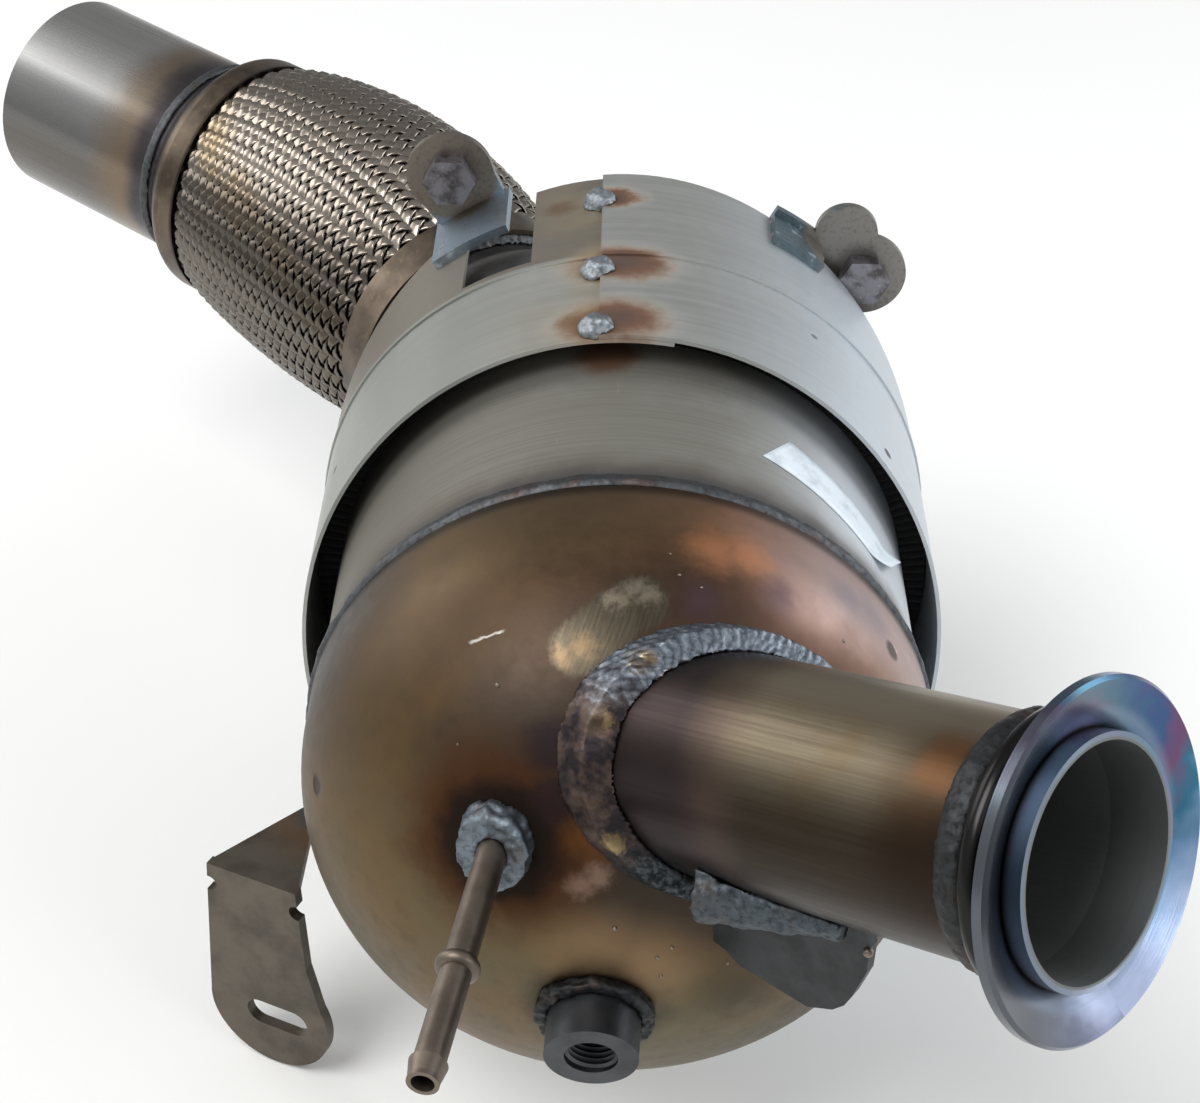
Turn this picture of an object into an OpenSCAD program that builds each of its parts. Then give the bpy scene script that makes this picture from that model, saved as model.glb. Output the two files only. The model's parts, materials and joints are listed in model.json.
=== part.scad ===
// Diesel particulate filter: canned monolith, pressed inlet cap with a V-band
// pipe, wrapped heat shield, angled outlet cone and a braided flexible coupling.
// The can lies along Y with the inlet cap towards -Y and the outlet towards +Y.
// All sizes are in millimetres. The origin is the centre of the inlet mouth.

/* [Can] */
// Outer diameter of the can
can_d = 155; // [145:1:170]
// Length of the can from the cap edge to the outlet cone
can_len = 112; // [104:1:130]
// Sheet thickness of can, cap and cone
shell_t = 1.5; // [1:0.1:2.5]
// Thickness of the support mat around the filter block
mat_t = 4; // [3:0.5:6]
// Distance from the filter block to the ends of the can
block_inset = 4; // [2:1:10]

/* [Inlet cap] */
// Distance from the front of the can frame to the domed part of the cap
cap_skirt = 16; // [12:1:20]
// Depth of the domed part of the cap
cap_dome = 66; // [60:1:76]
// Length of can inside the skirt of the cap or the cone
lap = 9; // [7:1:11]

/* [Inlet pipe] */
// Outer diameter of the inlet pipe
inlet_d = 52; // [48:1:56]
// Wall of the inlet pipe
inlet_t = 1.7; // [1.2:0.1:2.5]
// Sideways place where the pipe axis leaves the cap
inlet_x = 27; // [20:1:30]
// Height at which the pipe axis leaves the cap
inlet_z = 45; // [40:1:48]
// Sideways turn of the pipe from straight ahead, in degrees
inlet_turn = 48; // [40:1:54]
// Upward tilt of the pipe, in degrees
inlet_rise = 17.5; // [12:0.5:22]
// Length from the cap to the mouth along the pipe axis
inlet_len = 93.5; // [88:0.5:110]

/* [Inlet flange] */
// Outer diameter of the clamped rim
flange_d = 74; // [70:1:80]
// Thickness of the clamped rim
rim_t = 2.2; // [1.5:0.1:3]
// Depth of the dished face behind the lip
dish = 4.5; // [3:0.5:6]
// Radius of the rounded collar behind the rim
hump_r = 2.8; // [2:0.1:3]

/* [Sensors] */
// Outer diameter of the temperature sensor boss
boss_d = 22; // [20:1:24]
// Bore of the boss, tapping size of an M14 x 1.5 thread
boss_bore = 12.5; // [10:0.5:14]
// How far the boss stands off the cap
boss_out = 12; // [8:1:15]
// Outer diameter of the pressure pipe
sense_d = 7; // [6:0.5:8]
// Bore of the pressure pipe
sense_bore = 5; // [4:0.5:5.5]
// Length of the pressure pipe
sense_len = 69; // [60:1:80]
// Place of the hose stop along the pressure pipe
sense_stop = 38; // [30:1:45]

/* [Heat shield] */
// Air gap between the can and the shield
shield_gap = 7; // [5:0.5:9]
// Sheet thickness of the shield
shield_t = 1; // [0.8:0.1:1.5]
// Place of the front edge of the shield at the can axis
shield_front = 36; // [30:1:40]
// Place of the rear edge of the shield at the can axis
shield_rear = 102; // [95:1:108]
// Lean of the front edge, in degrees
front_lean = 11.5; // [6:0.5:14]
// Lean of the rear edge, in degrees
rear_lean = 26.5; // [20:0.5:28]

/* [Tabs and bracket] */
// Sheet thickness of the shield tabs
tab_t = 2.5; // [2:0.5:3]
// Diameter of the round ears of the tabs
ear_d = 25; // [22:1:28]
// Hex size of the tab bolts across flats
bolt_af = 13; // [10:1:13]
// Sheet thickness of the mounting bracket
bracket_t = 3; // [2.5:0.5:4]
// Width of the hanging plate of the bracket
bracket_w = 27; // [24:1:30]
// Height of the hanging plate of the bracket
bracket_h = 65; // [60:1:72]
// Radius of the round lower end of the bracket
bracket_end_r = 18.5; // [16:0.5:20]
// Width of the bolt slot in the bracket
slot_w = 8.5; // [6.5:0.5:9]
// Length of the bolt slot in the bracket
slot_len = 19; // [15:1:20]

/* [Flexible coupling] */
// Length of the flexible part along its middle line
flex_len = 106; // [95:1:115]
// Turn of the near end from straight ahead, in degrees
flex_turn = -147; // [-155:1:-142]
// Turn of the far end from straight ahead, in degrees
outlet_turn = -126; // [-130:1:-120]
// Upward tilt of the coupling and the outlet pipe, in degrees
flex_rise = 6; // [2:0.5:10]
// Outer diameter of the braid at its clamped ends
braid_end_d = 79.5; // [78:0.5:82]
// Outer diameter of the braid at its widest
braid_mid_d = 97; // [92:0.5:100]
// Number of strand bundles in each direction of the braid
strands = 24; // [20:4:28]
// Number of bellows waves inside the braid
waves = 9; // [7:1:10]
// Outer diameter of the outlet pipe
outlet_d = 67; // [64:1:68]
// Wall of the outlet pipe
outlet_t = 1.5; // [1.2:0.1:2]
// Length of the outlet pipe past the coupling
outlet_len = 68; // [50:1:85]

/* [Hidden] */
$fn = 160;
eps = 0.02;
// Clearance of a turned weld on a lofted wall
seat = 0.15;
bead = 5;
can_r = can_d/2;
cap_r = can_r + shell_t;
block_r = can_r - shell_t - mat_t;
mesh_len = 6;
bolt_d = 8;
cap_edge = -3.5;
cone_edge = can_len;
shield_r = can_r + shield_gap + shield_t;
// Rise of the right half of the shield over the left half, with a gap between the two at the seam
lap_gap = 0.1;
lap_rise = (shield_t + lap_gap)/2;
lap_r = shield_r + lap_rise;

// Direction from a turn away from -Y towards +X and a rise towards +Z
function heading(turn, rise) = [sin(turn)*cos(rise), -cos(turn)*cos(rise), sin(rise)];
function unit(v) = v/norm(v);

// Height of the cap surface in front of a point in the XZ plane
function cap_y(x, z) = -cap_skirt - cap_dome*sqrt(1 - (x*x + z*z)/(cap_r*cap_r));
// Outward normal of the cap at such a point
function cap_normal(x, z) =
    unit([x/pow(cap_r, 2), (cap_y(x, z) + cap_skirt)/pow(cap_dome, 2), z/pow(cap_r, 2)]);

inlet_dir = heading(inlet_turn, inlet_rise);
inlet_root = [inlet_x, cap_y(inlet_x, inlet_z), inlet_z];
mouth = inlet_root + inlet_len*inlet_dir;
inlet_r = inlet_d/2;
inlet_bore_r = inlet_r - inlet_t;
rim_r = flange_d/2;
lip_r = inlet_r;
neck_len = 13.5;

boss_root = [-5, cap_y(-5, -17), -17];
boss_dir = cap_normal(-5, -17);
sense_root = [-27, cap_y(-27, 30), 30];
sense_dir = heading(-9.5, -3);

// Gusset under the inlet pipe: distance from the pipe axis, thickness, turn and length along the pipe
gusset_off = 10;
gusset_t = 3;
gusset_turn = 6;
gusset_len = 36;

// Shield details: seam, end of the tucked lap, its tack welds, pressed bead, spacer, notch and the two tabs
seam_a = -4;
lap_a = 9;
tack_y = [shield_front + 22, shield_front + 53, shield_front + 93];
crease_y = shield_rear - 5;
spacer_y = shield_front + 30;
spacer_w = 14;
notch_y = shield_rear - 1;
left_a = -30;
left_y = shield_rear + 45;
left_r = shield_r + 14;
right_a = 50;
right_y = shield_rear + 38;
right_r = shield_r + 5;

// Bracket fold: middle point and turn around the vertical
bracket_at = [-can_r - 16.5, -15, -38];
bracket_turn = 25;
slot_at = [3.5, 0, bracket_end_r - bracket_h - 0.5];

// Flexible coupling: near end, its heading and the frame of the bend
flex_root = [-51, can_len + 60, 20.5];
flex_dir = heading(flex_turn, flex_rise);
flex_far_dir = heading(outlet_turn, flex_rise);
flex_bend = acos(flex_dir*flex_far_dir);
bend_x = unit(flex_far_dir - (flex_far_dir*flex_dir)*flex_dir);
bend_y = cross(flex_dir, bend_x);
bend_r = flex_len/(flex_bend*PI/180);
cuff = 9;
far_len = cuff + 11;
liner_r = 30;
bellows_r = braid_end_d/2 - 1.5;
braid_t = braid_end_d/2 - bellows_r - 0.06;
sleeve_t = 1.4;
exit_r = 37.5;
wall_t = 3;
stub = 6;

// Moves the can frame so that the origin is the inlet mouth
module part_frame() { translate(-mouth) children(); }

// Turns the Z axis to a direction
module point_z(d) { rotate([0, acos(d.z/norm(d)), atan2(d.y, d.x)]) children(); }

// Turns a profile drawn as [radius, distance] around the can axis
module around_can() { rotate([-90, 0, 0]) rotate_extrude() children(); }

// Frame of the flexible coupling: Z leaves the near end, X is the inside of the bend
module flex_frame() {
    m = [for (i = [0:2]) [bend_x[i], bend_y[i], flex_dir[i], flex_root[i]]];
    multmatrix(concat(m, [[0, 0, 0, 1]])) children();
}

// Frame at the far end of the bend
module far_frame() {
    flex_frame() translate([bend_r*(1 - cos(flex_bend)), 0, bend_r*sin(flex_bend)])
        rotate([0, flex_bend, 0]) children();
}

// Profile of the cap grown outwards by g, closed down to the axis and up to y = top
module cap_profile(g, top) {
    steps = 36;
    r = cap_r + g;
    d = cap_dome + g;
    polygon(concat([[0, top], [r, top]],
        [for (i = [0:steps - 1]) [r*cos(90*i/steps), -cap_skirt - d*sin(90*i/steps)]],
        [[0, -cap_skirt - d]]));
}

// Solid inside the grown cap, with its skirt
module cap_body(g = 0) { around_can() cap_profile(g, cap_edge); }

// Cylinder along the inlet pipe from the inside of the cap to the mouth
module inlet_rod(r) {
    translate(mouth) point_z(inlet_dir) translate([0, 0, -inlet_len - 45])
        cylinder(r = r, h = inlet_len + 45 - neck_len);
}

// Ring of weld where a round part of radius r meets the cap
module cap_weld(root, dir, r, size, reach) {
    difference() {
        intersection() {
            cap_body(size);
            translate(root) point_z(dir) translate([0, 0, -reach]) cylinder(r = r + size, h = 2*reach);
        }
        cap_body();
        translate(root) point_z(dir) translate([0, 0, -2*reach]) cylinder(r = r, h = 4*reach);
    }
}

// Rounded bead around a pipe of radius r, centred on z = 0
module ring_bead(r, width, height) {
    rotate_extrude() intersection() {
        translate([r, -width/2]) square([height, width]);
        translate([r + height - bead_round(width, height), 0])
            circle(r = bead_round(width, height));
    }
}
function bead_round(w, h) = (w*w/4 + h*h)/(2*h);

// Sector of a tube around the can axis; angles run from +Z towards +X
module can_sector(r_in, r_out, y0, y1, a0, a1) {
    translate([0, y1, 0]) rotate([90, 0, 0]) rotate([0, 0, 90 - a1])
        rotate_extrude(angle = a1 - a0) translate([r_in, 0]) square([r_out - r_in, y1 - y0]);
}

// Point on a cylinder around the can axis
function on_can(r, y, a) = [r*sin(a), y, r*cos(a)];

// Half space in front of the tilted plane y = at + z*tan(lean)
module before_plane(at, lean) {
    translate([0, at, 0]) rotate([-lean, 0, 0]) translate([-300, -400, -300]) cube([600, 400, 600]);
}

module can_shell() {
    color("#8d877f") part_frame() around_can()
        translate([can_r - shell_t, cap_edge - lap]) square([shell_t, can_len - cap_edge + 2*lap]);
}

module filter_block() {
    color("#b9a48c") part_frame() around_can()
        translate([0, block_inset]) square([block_r, can_len - 2*block_inset]);
}

// Tube of packing between the block and the can
module packing(y0, y1) {
    part_frame() around_can() translate([block_r, y0]) square([mat_t, y1 - y0]);
}

module support_mat() {
    color("#d8d0c0") packing(block_inset + mesh_len, can_len - block_inset - mesh_len);
}

module front_seal_ring() { color("#77726c") packing(block_inset, block_inset + mesh_len); }

module rear_seal_ring() {
    color("#77726c") packing(can_len - block_inset - mesh_len, can_len - block_inset);
}

module inlet_cap() {
    color("#7d6a52") part_frame() difference() {
        cap_body();
        around_can() cap_profile(-shell_t, 1);
        inlet_rod(inlet_bore_r);
        translate(boss_root) point_z(boss_dir) cylinder(d = boss_bore, h = 30, center = true);
        translate(sense_root) point_z(sense_dir) cylinder(d = sense_bore, h = 30, center = true);
    }
}

module rim_weld() {
    color("#4c4d50") part_frame() around_can() translate([can_r, cap_edge])
        polygon([[0, 0], [shell_t, 0], [shell_t + 0.9, 1.5], [shell_t + 0.2, 4.4], [0, 7]]);
}

module inlet_pipe() {
    color("#6f5a3c") part_frame() difference() {
        inlet_rod(inlet_r);
        inlet_rod(inlet_bore_r);
        cap_body();
    }
}

module inlet_pipe_weld() {
    color("#3e3d3d") part_frame() cap_weld(inlet_root, inlet_dir, inlet_r, bead, 45);
}

// Dished V-band flange drawn behind the mouth plane
module inlet_flange() {
    back = -dish - rim_t - 0.8;
    hump_z = back - hump_r;
    color("#8f93a8") part_frame() translate(mouth) point_z(inlet_dir) {
        rotate_extrude()
            polygon([[inlet_bore_r, 0], [lip_r, 0], [lip_r, -dish], [rim_r - 0.8, 0],
                [rim_r, -0.8], [rim_r, -0.8 - rim_t], [lip_r + 2, back], [lip_r, -neck_len],
                [inlet_bore_r, -neck_len]]);
        rotate_extrude() translate([inlet_bore_r + hump_r + 0.3, hump_z]) circle(r = hump_r);
    }
}

module flange_weld() {
    color("#444345") part_frame() translate(mouth - (neck_len + 3.5)*inlet_dir)
        point_z(inlet_dir) ring_bead(inlet_r, 7, 1.6);
}

// Frame of the gusset: X along the inlet pipe, Y up, Z towards its welded face
module gusset_frame() {
    side = unit(cross([0, 0, 1], inlet_dir));
    up = cross(inlet_dir, side);
    m = [for (i = [0:2]) [inlet_dir[i], up[i], -side[i], inlet_root[i]]];
    multmatrix(concat(m, [[0, 0, 0, 1]])) rotate([0, gusset_turn, 0]) children();
}

// Web that hangs under the inlet pipe and meets the cap
module pipe_gusset() {
    l = gusset_len;
    color("#5b4c3c") part_frame() difference() {
        gusset_frame() translate([0, 0, gusset_off]) linear_extrude(gusset_t)
            polygon([[-30, 0], [l, 0], [l, -inlet_r - 5], [l - 2.5, -inlet_r - 12], [l - 7.5, -inlet_r - 19],
                [l - 10.5, -inlet_r - 22.5], [l - 14, -inlet_r - 24.5], [l - 21, -inlet_r - 25.5],
                [-2, -inlet_r - 18.5], [-5, -inlet_r - 15], [-30, -inlet_r]]);
        cap_body();
        inlet_rod(inlet_r);
        cap_weld_cover();
    }
}

// Bead between the gusset and the inlet pipe, widest near the cap
module gusset_weld() {
    face = gusset_off + gusset_t;
    near = [1, 9 - inlet_r, face + 6.7];
    far = [gusset_len - 2.5, 3 - inlet_r, face + 2.6];
    color("#55585c") part_frame() difference() {
        gusset_frame() translate(near) point_z(far - near)
            cylinder(r1 = bead + 4, r2 = bead - 0.5, h = norm(far - near));
        gusset_frame() translate([-40, -90, face - 60]) cube([120, 120, 60]);
        cap_body();
        inlet_rod(inlet_r);
        cap_weld_cover();
    }
}

// Space taken by the weld around the inlet pipe
module cap_weld_cover() {
    intersection() {
        cap_body(bead);
        translate(inlet_root) point_z(inlet_dir) translate([0, 0, -45])
            cylinder(r = inlet_r + bead, h = 90);
    }
}

module pressure_pipe() {
    color("#55463a") part_frame() difference() {
        translate(sense_root) point_z(sense_dir) difference() {
            union() {
                translate([0, 0, -12]) cylinder(d = sense_d, h = sense_len + 12);
                translate([0, 0, sense_stop]) ring_bead(sense_d/2 - eps, 3.5, 1.5);
                translate([0, 0, sense_len - 5]) cylinder(d1 = sense_d + 1.4, d2 = sense_d - 0.4, h = 5);
            }
            translate([0, 0, -20]) cylinder(d = sense_bore, h = sense_len + 40);
        }
        cap_body();
    }
}

module pressure_pipe_weld() {
    color("#6b6660") part_frame() cap_weld(sense_root, sense_dir, sense_d/2, bead, 20);
}

module sensor_boss() {
    color("#2f2d2d") part_frame() difference() {
        translate(boss_root) point_z(boss_dir) translate([0, 0, -8])
            cylinder(d = boss_d, h = boss_out + 8);
        translate(boss_root) point_z(boss_dir) cylinder(d = boss_bore, h = 60, center = true);
        cap_body();
    }
}

module sensor_boss_weld() {
    color("#4a4846") part_frame() cap_weld(boss_root, boss_dir, boss_d/2, bead - 2, 20);
}

// Frame of the right half of the shield, raised so that it lies on the left half at the seam
module lap_frame() { translate([0, 0, lap_rise]) children(); }

// Wrapped sheet with a lapped seam on top, a pressed bead and a notch for the left tab
module heat_shield() {
    y0 = shield_front - 30;
    y1 = shield_rear + 60;
    color("#b4b3ae") part_frame() difference() {
        intersection() {
            union() {
                can_sector(shield_r - shield_t, shield_r, y0, y1, -180, lap_a);
                can_sector(shield_r - 0.5, shield_r + 0.6, crease_y - 1, crease_y + 1, -170, seam_a - 0.5);
                lap_frame() can_sector(lap_r - shield_t, lap_r, y0, y1, seam_a, 180);
                lap_frame() can_sector(lap_r - 0.5, lap_r + 0.6, crease_y - 1, crease_y + 1, seam_a + 0.5, 170);
            }
            union() {
                before_plane(shield_rear, rear_lean);
                translate([-can_d, y0, -can_d]) cube([2 * can_d, shield_rear - y0, can_d]);
            }
        }
        before_plane(shield_front, front_lean);
        can_sector(can_r, shield_r + 20, notch_y, y1 + 60, left_a - 1, left_a + 13);
    }
}

// Knitted wire ring that carries the shield on the can
module shield_spacer() {
    color("#55524e") part_frame() around_can()
        translate([can_r, spacer_y]) square([shield_gap, spacer_w]);
}

// Three short beads across the seam of the shield
module shield_tack_welds() {
    color("#8a8780") part_frame() difference() {
        for (y = tack_y) {
            translate(on_can(shield_r - 0.6, y, seam_a - 0.4)) sphere(r = 5);
        }
        rotate([-90, 0, 0]) cylinder(r = shield_r, h = 400);
        lap_frame() can_sector(lap_r - 3, lap_r, 0, 300, seam_a, lap_a + 20);
    }
}

// Sheet tab: a strap on a sheet of radius r, a web behind its edge and a round ear on the web
module shield_tab(r, strap_y, y1, strap, web, a, ear_r) {
    difference() {
        union() {
            can_sector(r, r + tab_t, strap_y, y1, strap[0], strap[1]);
            can_sector(r, ear_r, y1 - tab_t, y1, web[0], web[1]);
            translate(on_can(ear_r, y1, a)) rotate([90, 0, 0]) cylinder(d = ear_d, h = tab_t);
        }
        translate(on_can(ear_r, y1, a)) rotate([90, 0, 0]) cylinder(d = bolt_d, h = 60, center = true);
    }
}

// Hex bolt through a tab ear with its head towards the inlet
module tab_bolt(a, y1, ear_r) {
    translate(on_can(ear_r, y1, a)) rotate([90, 0, 0]) {
        translate([0, 0, tab_t]) cylinder(d = bolt_af/cos(30), h = 5.5, $fn = 6);
        translate([0, 0, -8]) cylinder(d = bolt_d, h = 9 + tab_t);
    }
}

module left_tab() {
    color("#8b857c") part_frame()
        shield_tab(shield_r, left_y - 24, left_y, [left_a - 8, left_a + 8], [left_a - 7, left_a + 7],
            left_a, left_r);
}

module left_tab_bolt() { color("#a9a294") part_frame() tab_bolt(left_a, left_y, left_r); }

module right_tab() {
    color("#8b857c") part_frame() lap_frame() {
        shield_tab(lap_r, right_y - 16, right_y, [right_a - 21, right_a - 10], [right_a - 21, right_a],
            right_a, right_r);
        translate(on_can(right_r + 5, right_y, right_a - 8)) rotate([90, 0, 0])
            cylinder(d = 0.72*ear_d, h = tab_t);
    }
}

module right_tab_bolt() {
    color("#a9a294") part_frame() lap_frame() tab_bolt(right_a, right_y, right_r);
}

// Folded bracket: a flat arm from the can and a slotted plate that hangs from it
module mounting_bracket() {
    color("#8c847a") part_frame() difference() {
        union() {
            translate([0, 0, bracket_at.z]) linear_extrude(bracket_t) polygon([
                fold_point(-1), fold_point(1), [-can_r - 4, 4], [-can_r + 14, 4],
                [-can_r + 14, 30]]);
            bracket_frame() difference() {
                rotate([90, 0, 0]) linear_extrude(bracket_t) bracket_outline();
                translate(slot_at) rotate([90, 0, 0]) linear_extrude(20, center = true) slot_outline();
            }
        }
        rotate([-90, 0, 0]) cylinder(r = can_r, h = 400, center = true);
        cap_body(0.5);
    }
}

// Origin in the middle of the fold, X along the fold, Y towards the can
module bracket_frame() { translate(bracket_at) rotate([0, 0, -bracket_turn]) children(); }
function fold_point(s) =
    let (x = s*bracket_w/2, y = -bracket_t/2, c = cos(bracket_turn), d = sin(bracket_turn))
    [bracket_at.x + x*c + y*d, bracket_at.y - x*d + y*c];

// Hanging plate with a round lower end and relief notches beside the fold
module bracket_outline() {
    low = bracket_end_r - bracket_h;
    difference() {
        union() {
            polygon([[-bracket_w/2, bracket_t], [bracket_w/2, bracket_t], [bracket_w/2 + 1, -24],
                [bracket_end_r*0.9 + 1, low + 8], [1 - bracket_end_r, low]]);
            translate([1, low]) circle(r = bracket_end_r);
        }
        for (s = [-1, 1]) {
            translate([s*bracket_w/2, -4]) circle(r = 2.4);
        }
    }
}

module slot_outline() {
    square([slot_len - slot_w, slot_w], center = true);
    for (s = [-1, 1]) {
        translate([s*(slot_len - slot_w)/2, 0]) circle(d = slot_w);
    }
}

// Bead on top of the bracket arm against the can
module bracket_weld() {
    color("#5d6068") part_frame() difference() {
        intersection() {
            rotate([-90, 0, 0]) translate([0, 0, 6]) cylinder(r = can_r + 4, h = 20);
            translate([-can_r - 5, 0, bracket_at.z + bracket_t]) cube([30, 40, 4]);
        }
        rotate([-90, 0, 0]) cylinder(r = can_r, h = 400, center = true);
    }
}

// Rings of the outlet cone: around the can, and around the start of the coupling
function can_ring(r, y, n) = [for (j = [0:n - 1]) on_can(r, y, 360*j/n)];
function exit_ring(r, s, n) =
    let (x = unit([1, 0, 0] - flex_dir.x*flex_dir), z = cross(x, flex_dir))
    [for (j = [0:n - 1]) flex_root + s*flex_dir + r*(sin(360*j/n)*x + cos(360*j/n)*z)];

// Lofted shell from the rear of the can to the collar of the coupling
module outlet_cone() {
    n = 72;
    end = -cuff - wall_t;
    flat = 1/cos(180/n);
    color("#7a7269") part_frame() ring_wall([
        can_ring(cap_r*flat, cone_edge, n), can_ring(cap_r*flat, cone_edge + lap, n),
        exit_ring(exit_r, end - stub, n), exit_ring(exit_r, end, n),
        exit_ring(exit_r - shell_t, end, n), exit_ring(exit_r - shell_t, end - stub, n),
        can_ring(can_r*flat, cone_edge + lap, n), can_ring(can_r*flat, cone_edge, n)], n);
}

module outlet_cone_weld() {
    color("#4c4d50") part_frame() around_can() translate([can_r, cone_edge])
        polygon([[0, 0], [shell_t, 0], [shell_t + 0.6, -1.2], [shell_t, -3.2], [0, -5]]);
}

// Clamped sleeve and end wall of the coupling, drawn from z = 0 towards -Z
module flex_near_collar() {
    color("#6d5a47") part_frame() flex_frame() rotate_extrude() {
        translate([braid_end_d/2, -cuff]) square([sleeve_t, cuff]);
        translate([liner_r, -cuff - wall_t]) square([braid_end_d/2 + sleeve_t - liner_r, wall_t]);
    }
}

module flex_collar_weld() {
    color("#4a4643") part_frame() flex_frame() translate([0, 0, -cuff - wall_t]) rotate_extrude()
        polygon([[exit_r + seat, 0], [exit_r + 2.3, 0], [exit_r + 1.2, -1.8], [exit_r + seat, -3]]);
}

// Point at distance s along the bent middle line, radius r and angle q around it
function bend_point(s, r, q) =
    let (a = flex_bend*min(max(s/flex_len, 0), 1),
        past = s < 0 ? s : max(s - flex_len, 0),
        c = bend_r - r*cos(q))
    [bend_r - c*cos(a) + past*sin(a), r*sin(q), c*sin(a) + past*cos(a)];

// Closed wall from a loop of rings, outside first and then back along the inside
module ring_wall(rings, n) {
    m = len(rings);
    polyhedron([for (ring = rings) each ring], [for (k = [0:m - 1], j = [0:n - 1], t = [0:1])
        let (p = k*n + j, q = k*n + (j + 1)%n, u = ((k + 1)%m)*n + j, v = ((k + 1)%m)*n + (j + 1)%n)
        t == 0 ? [p, v, q] : [p, u, v]]);
}

function ring(s, n, radii) = [for (j = [0:n - 1]) bend_point(s, radii[j], 360*j/n)];
function even(r, n) = [for (j = [0:n - 1]) r];

module flex_liner() {
    n = 24;
    steps = 8;
    places = concat([-cuff - wall_t], [for (i = [0:steps]) flex_len*i/steps], [flex_len + cuff]);
    outer = [for (s = places) ring(s, n, even(liner_r, n))];
    inner = [for (i = [len(places) - 1:-1:0]) ring(places[i], n, even(liner_r - 1, n))];
    color("#77706a") part_frame() flex_frame() ring_wall(concat(outer, inner), n);
}

// Radius of the bellows wall along the coupling
function bellows_wave(s) =
    s <= 0 || s >= flex_len ? bellows_r : bellows_r - 1.5 + 1.5*cos(360*waves*s/flex_len);

module flex_bellows() {
    n = 24;
    steps = 4*waves;
    places = concat([-cuff], [for (i = [0:steps]) flex_len*i/steps], [flex_len + cuff]);
    outer = [for (s = places) ring(s, n, even(bellows_wave(s), n))];
    inner = [for (i = [len(places) - 1:-1:0]) ring(places[i], n, even(bellows_wave(places[i]) - 0.9, n))];
    color("#8a837a") part_frame() flex_frame() ring_wall(concat(outer, inner), n);
}

// Bulge of the braid between its clamped ends, from 0 to 1
function bulge(s) = s <= 0 || s >= flex_len ? 0 : pow(sin(180*s/flex_len), 0.6);
// Over and under of the crossing strands, from -1 to 1
function weave(s, q) = cos(strands/2*(q + 2.2*s))*cos(strands/2*(q - 2.2*s));

module flex_braid() {
    n = 4*strands;
    steps = 30;
    places = concat([-cuff], [for (i = [0:steps]) flex_len*i/steps], [flex_len + cuff]);
    rise = braid_mid_d/2 - braid_end_d/2;
    outer = [for (s = places) ring(s, n, [for (j = [0:n - 1])
        braid_end_d/2 + bulge(s)*(rise - 0.9 + 0.9*weave(s, 360*j/n))])];
    inside = concat([flex_len + cuff], [for (i = [8:-1:0]) flex_len*i/8], [-cuff]);
    inner = [for (s = inside) ring(s, n, even(braid_end_d/2 - braid_t + bulge(s)*(rise - 1.8), n))];
    color("#8f8676") part_frame() flex_frame() ring_wall(concat(outer, inner), n);
}

// Clamped sleeve that tapers down to the outlet pipe
module flex_far_cap() {
    r = braid_end_d/2 + sleeve_t;
    o = outlet_d/2;
    z0 = cuff - 2;
    z1 = far_len - 2;
    steps = 10;
    color("#6f6152") part_frame() far_frame() rotate_extrude() polygon(concat(
        [[r - sleeve_t, 0], [r, 0]],
        [for (i = [0:steps]) [o + (r - o)*(1 + cos(180*i/steps))/2, z0 + (z1 - z0)*i/steps]],
        [[o, far_len], [o - outlet_t, far_len], [liner_r, cuff + 4], [liner_r, cuff], [r - sleeve_t, cuff]]));
}

module outlet_pipe() {
    color("#a3a09b") part_frame() far_frame() translate([0, 0, far_len]) difference() {
        cylinder(d = outlet_d, h = outlet_len);
        translate([0, 0, -1]) cylinder(d = outlet_d - 2*outlet_t, h = outlet_len + 2);
    }
}

module outlet_pipe_weld() {
    color("#3f3a37") part_frame() far_frame() translate([0, 0, far_len]) ring_bead(outlet_d/2, 4, 1.2);
}

can_shell();
filter_block();
support_mat();
front_seal_ring();
rear_seal_ring();
inlet_cap();
rim_weld();
inlet_pipe();
inlet_pipe_weld();
inlet_flange();
flange_weld();
pipe_gusset();
gusset_weld();
pressure_pipe();
pressure_pipe_weld();
sensor_boss();
sensor_boss_weld();
heat_shield();
shield_spacer();
shield_tack_welds();
left_tab();
left_tab_bolt();
right_tab();
right_tab_bolt();
mounting_bracket();
bracket_weld();
outlet_cone();
outlet_cone_weld();
flex_near_collar();
flex_collar_weld();
flex_liner();
flex_bellows();
flex_braid();
flex_far_cap();
outlet_pipe();
outlet_pipe_weld();
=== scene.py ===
"""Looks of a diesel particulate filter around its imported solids, laid out as an add-on."""

import json
import math
import random

import bmesh
import bpy
import numpy as np
from bpy.props import FloatProperty, FloatVectorProperty, IntProperty, PointerProperty
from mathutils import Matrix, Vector, noise


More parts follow.
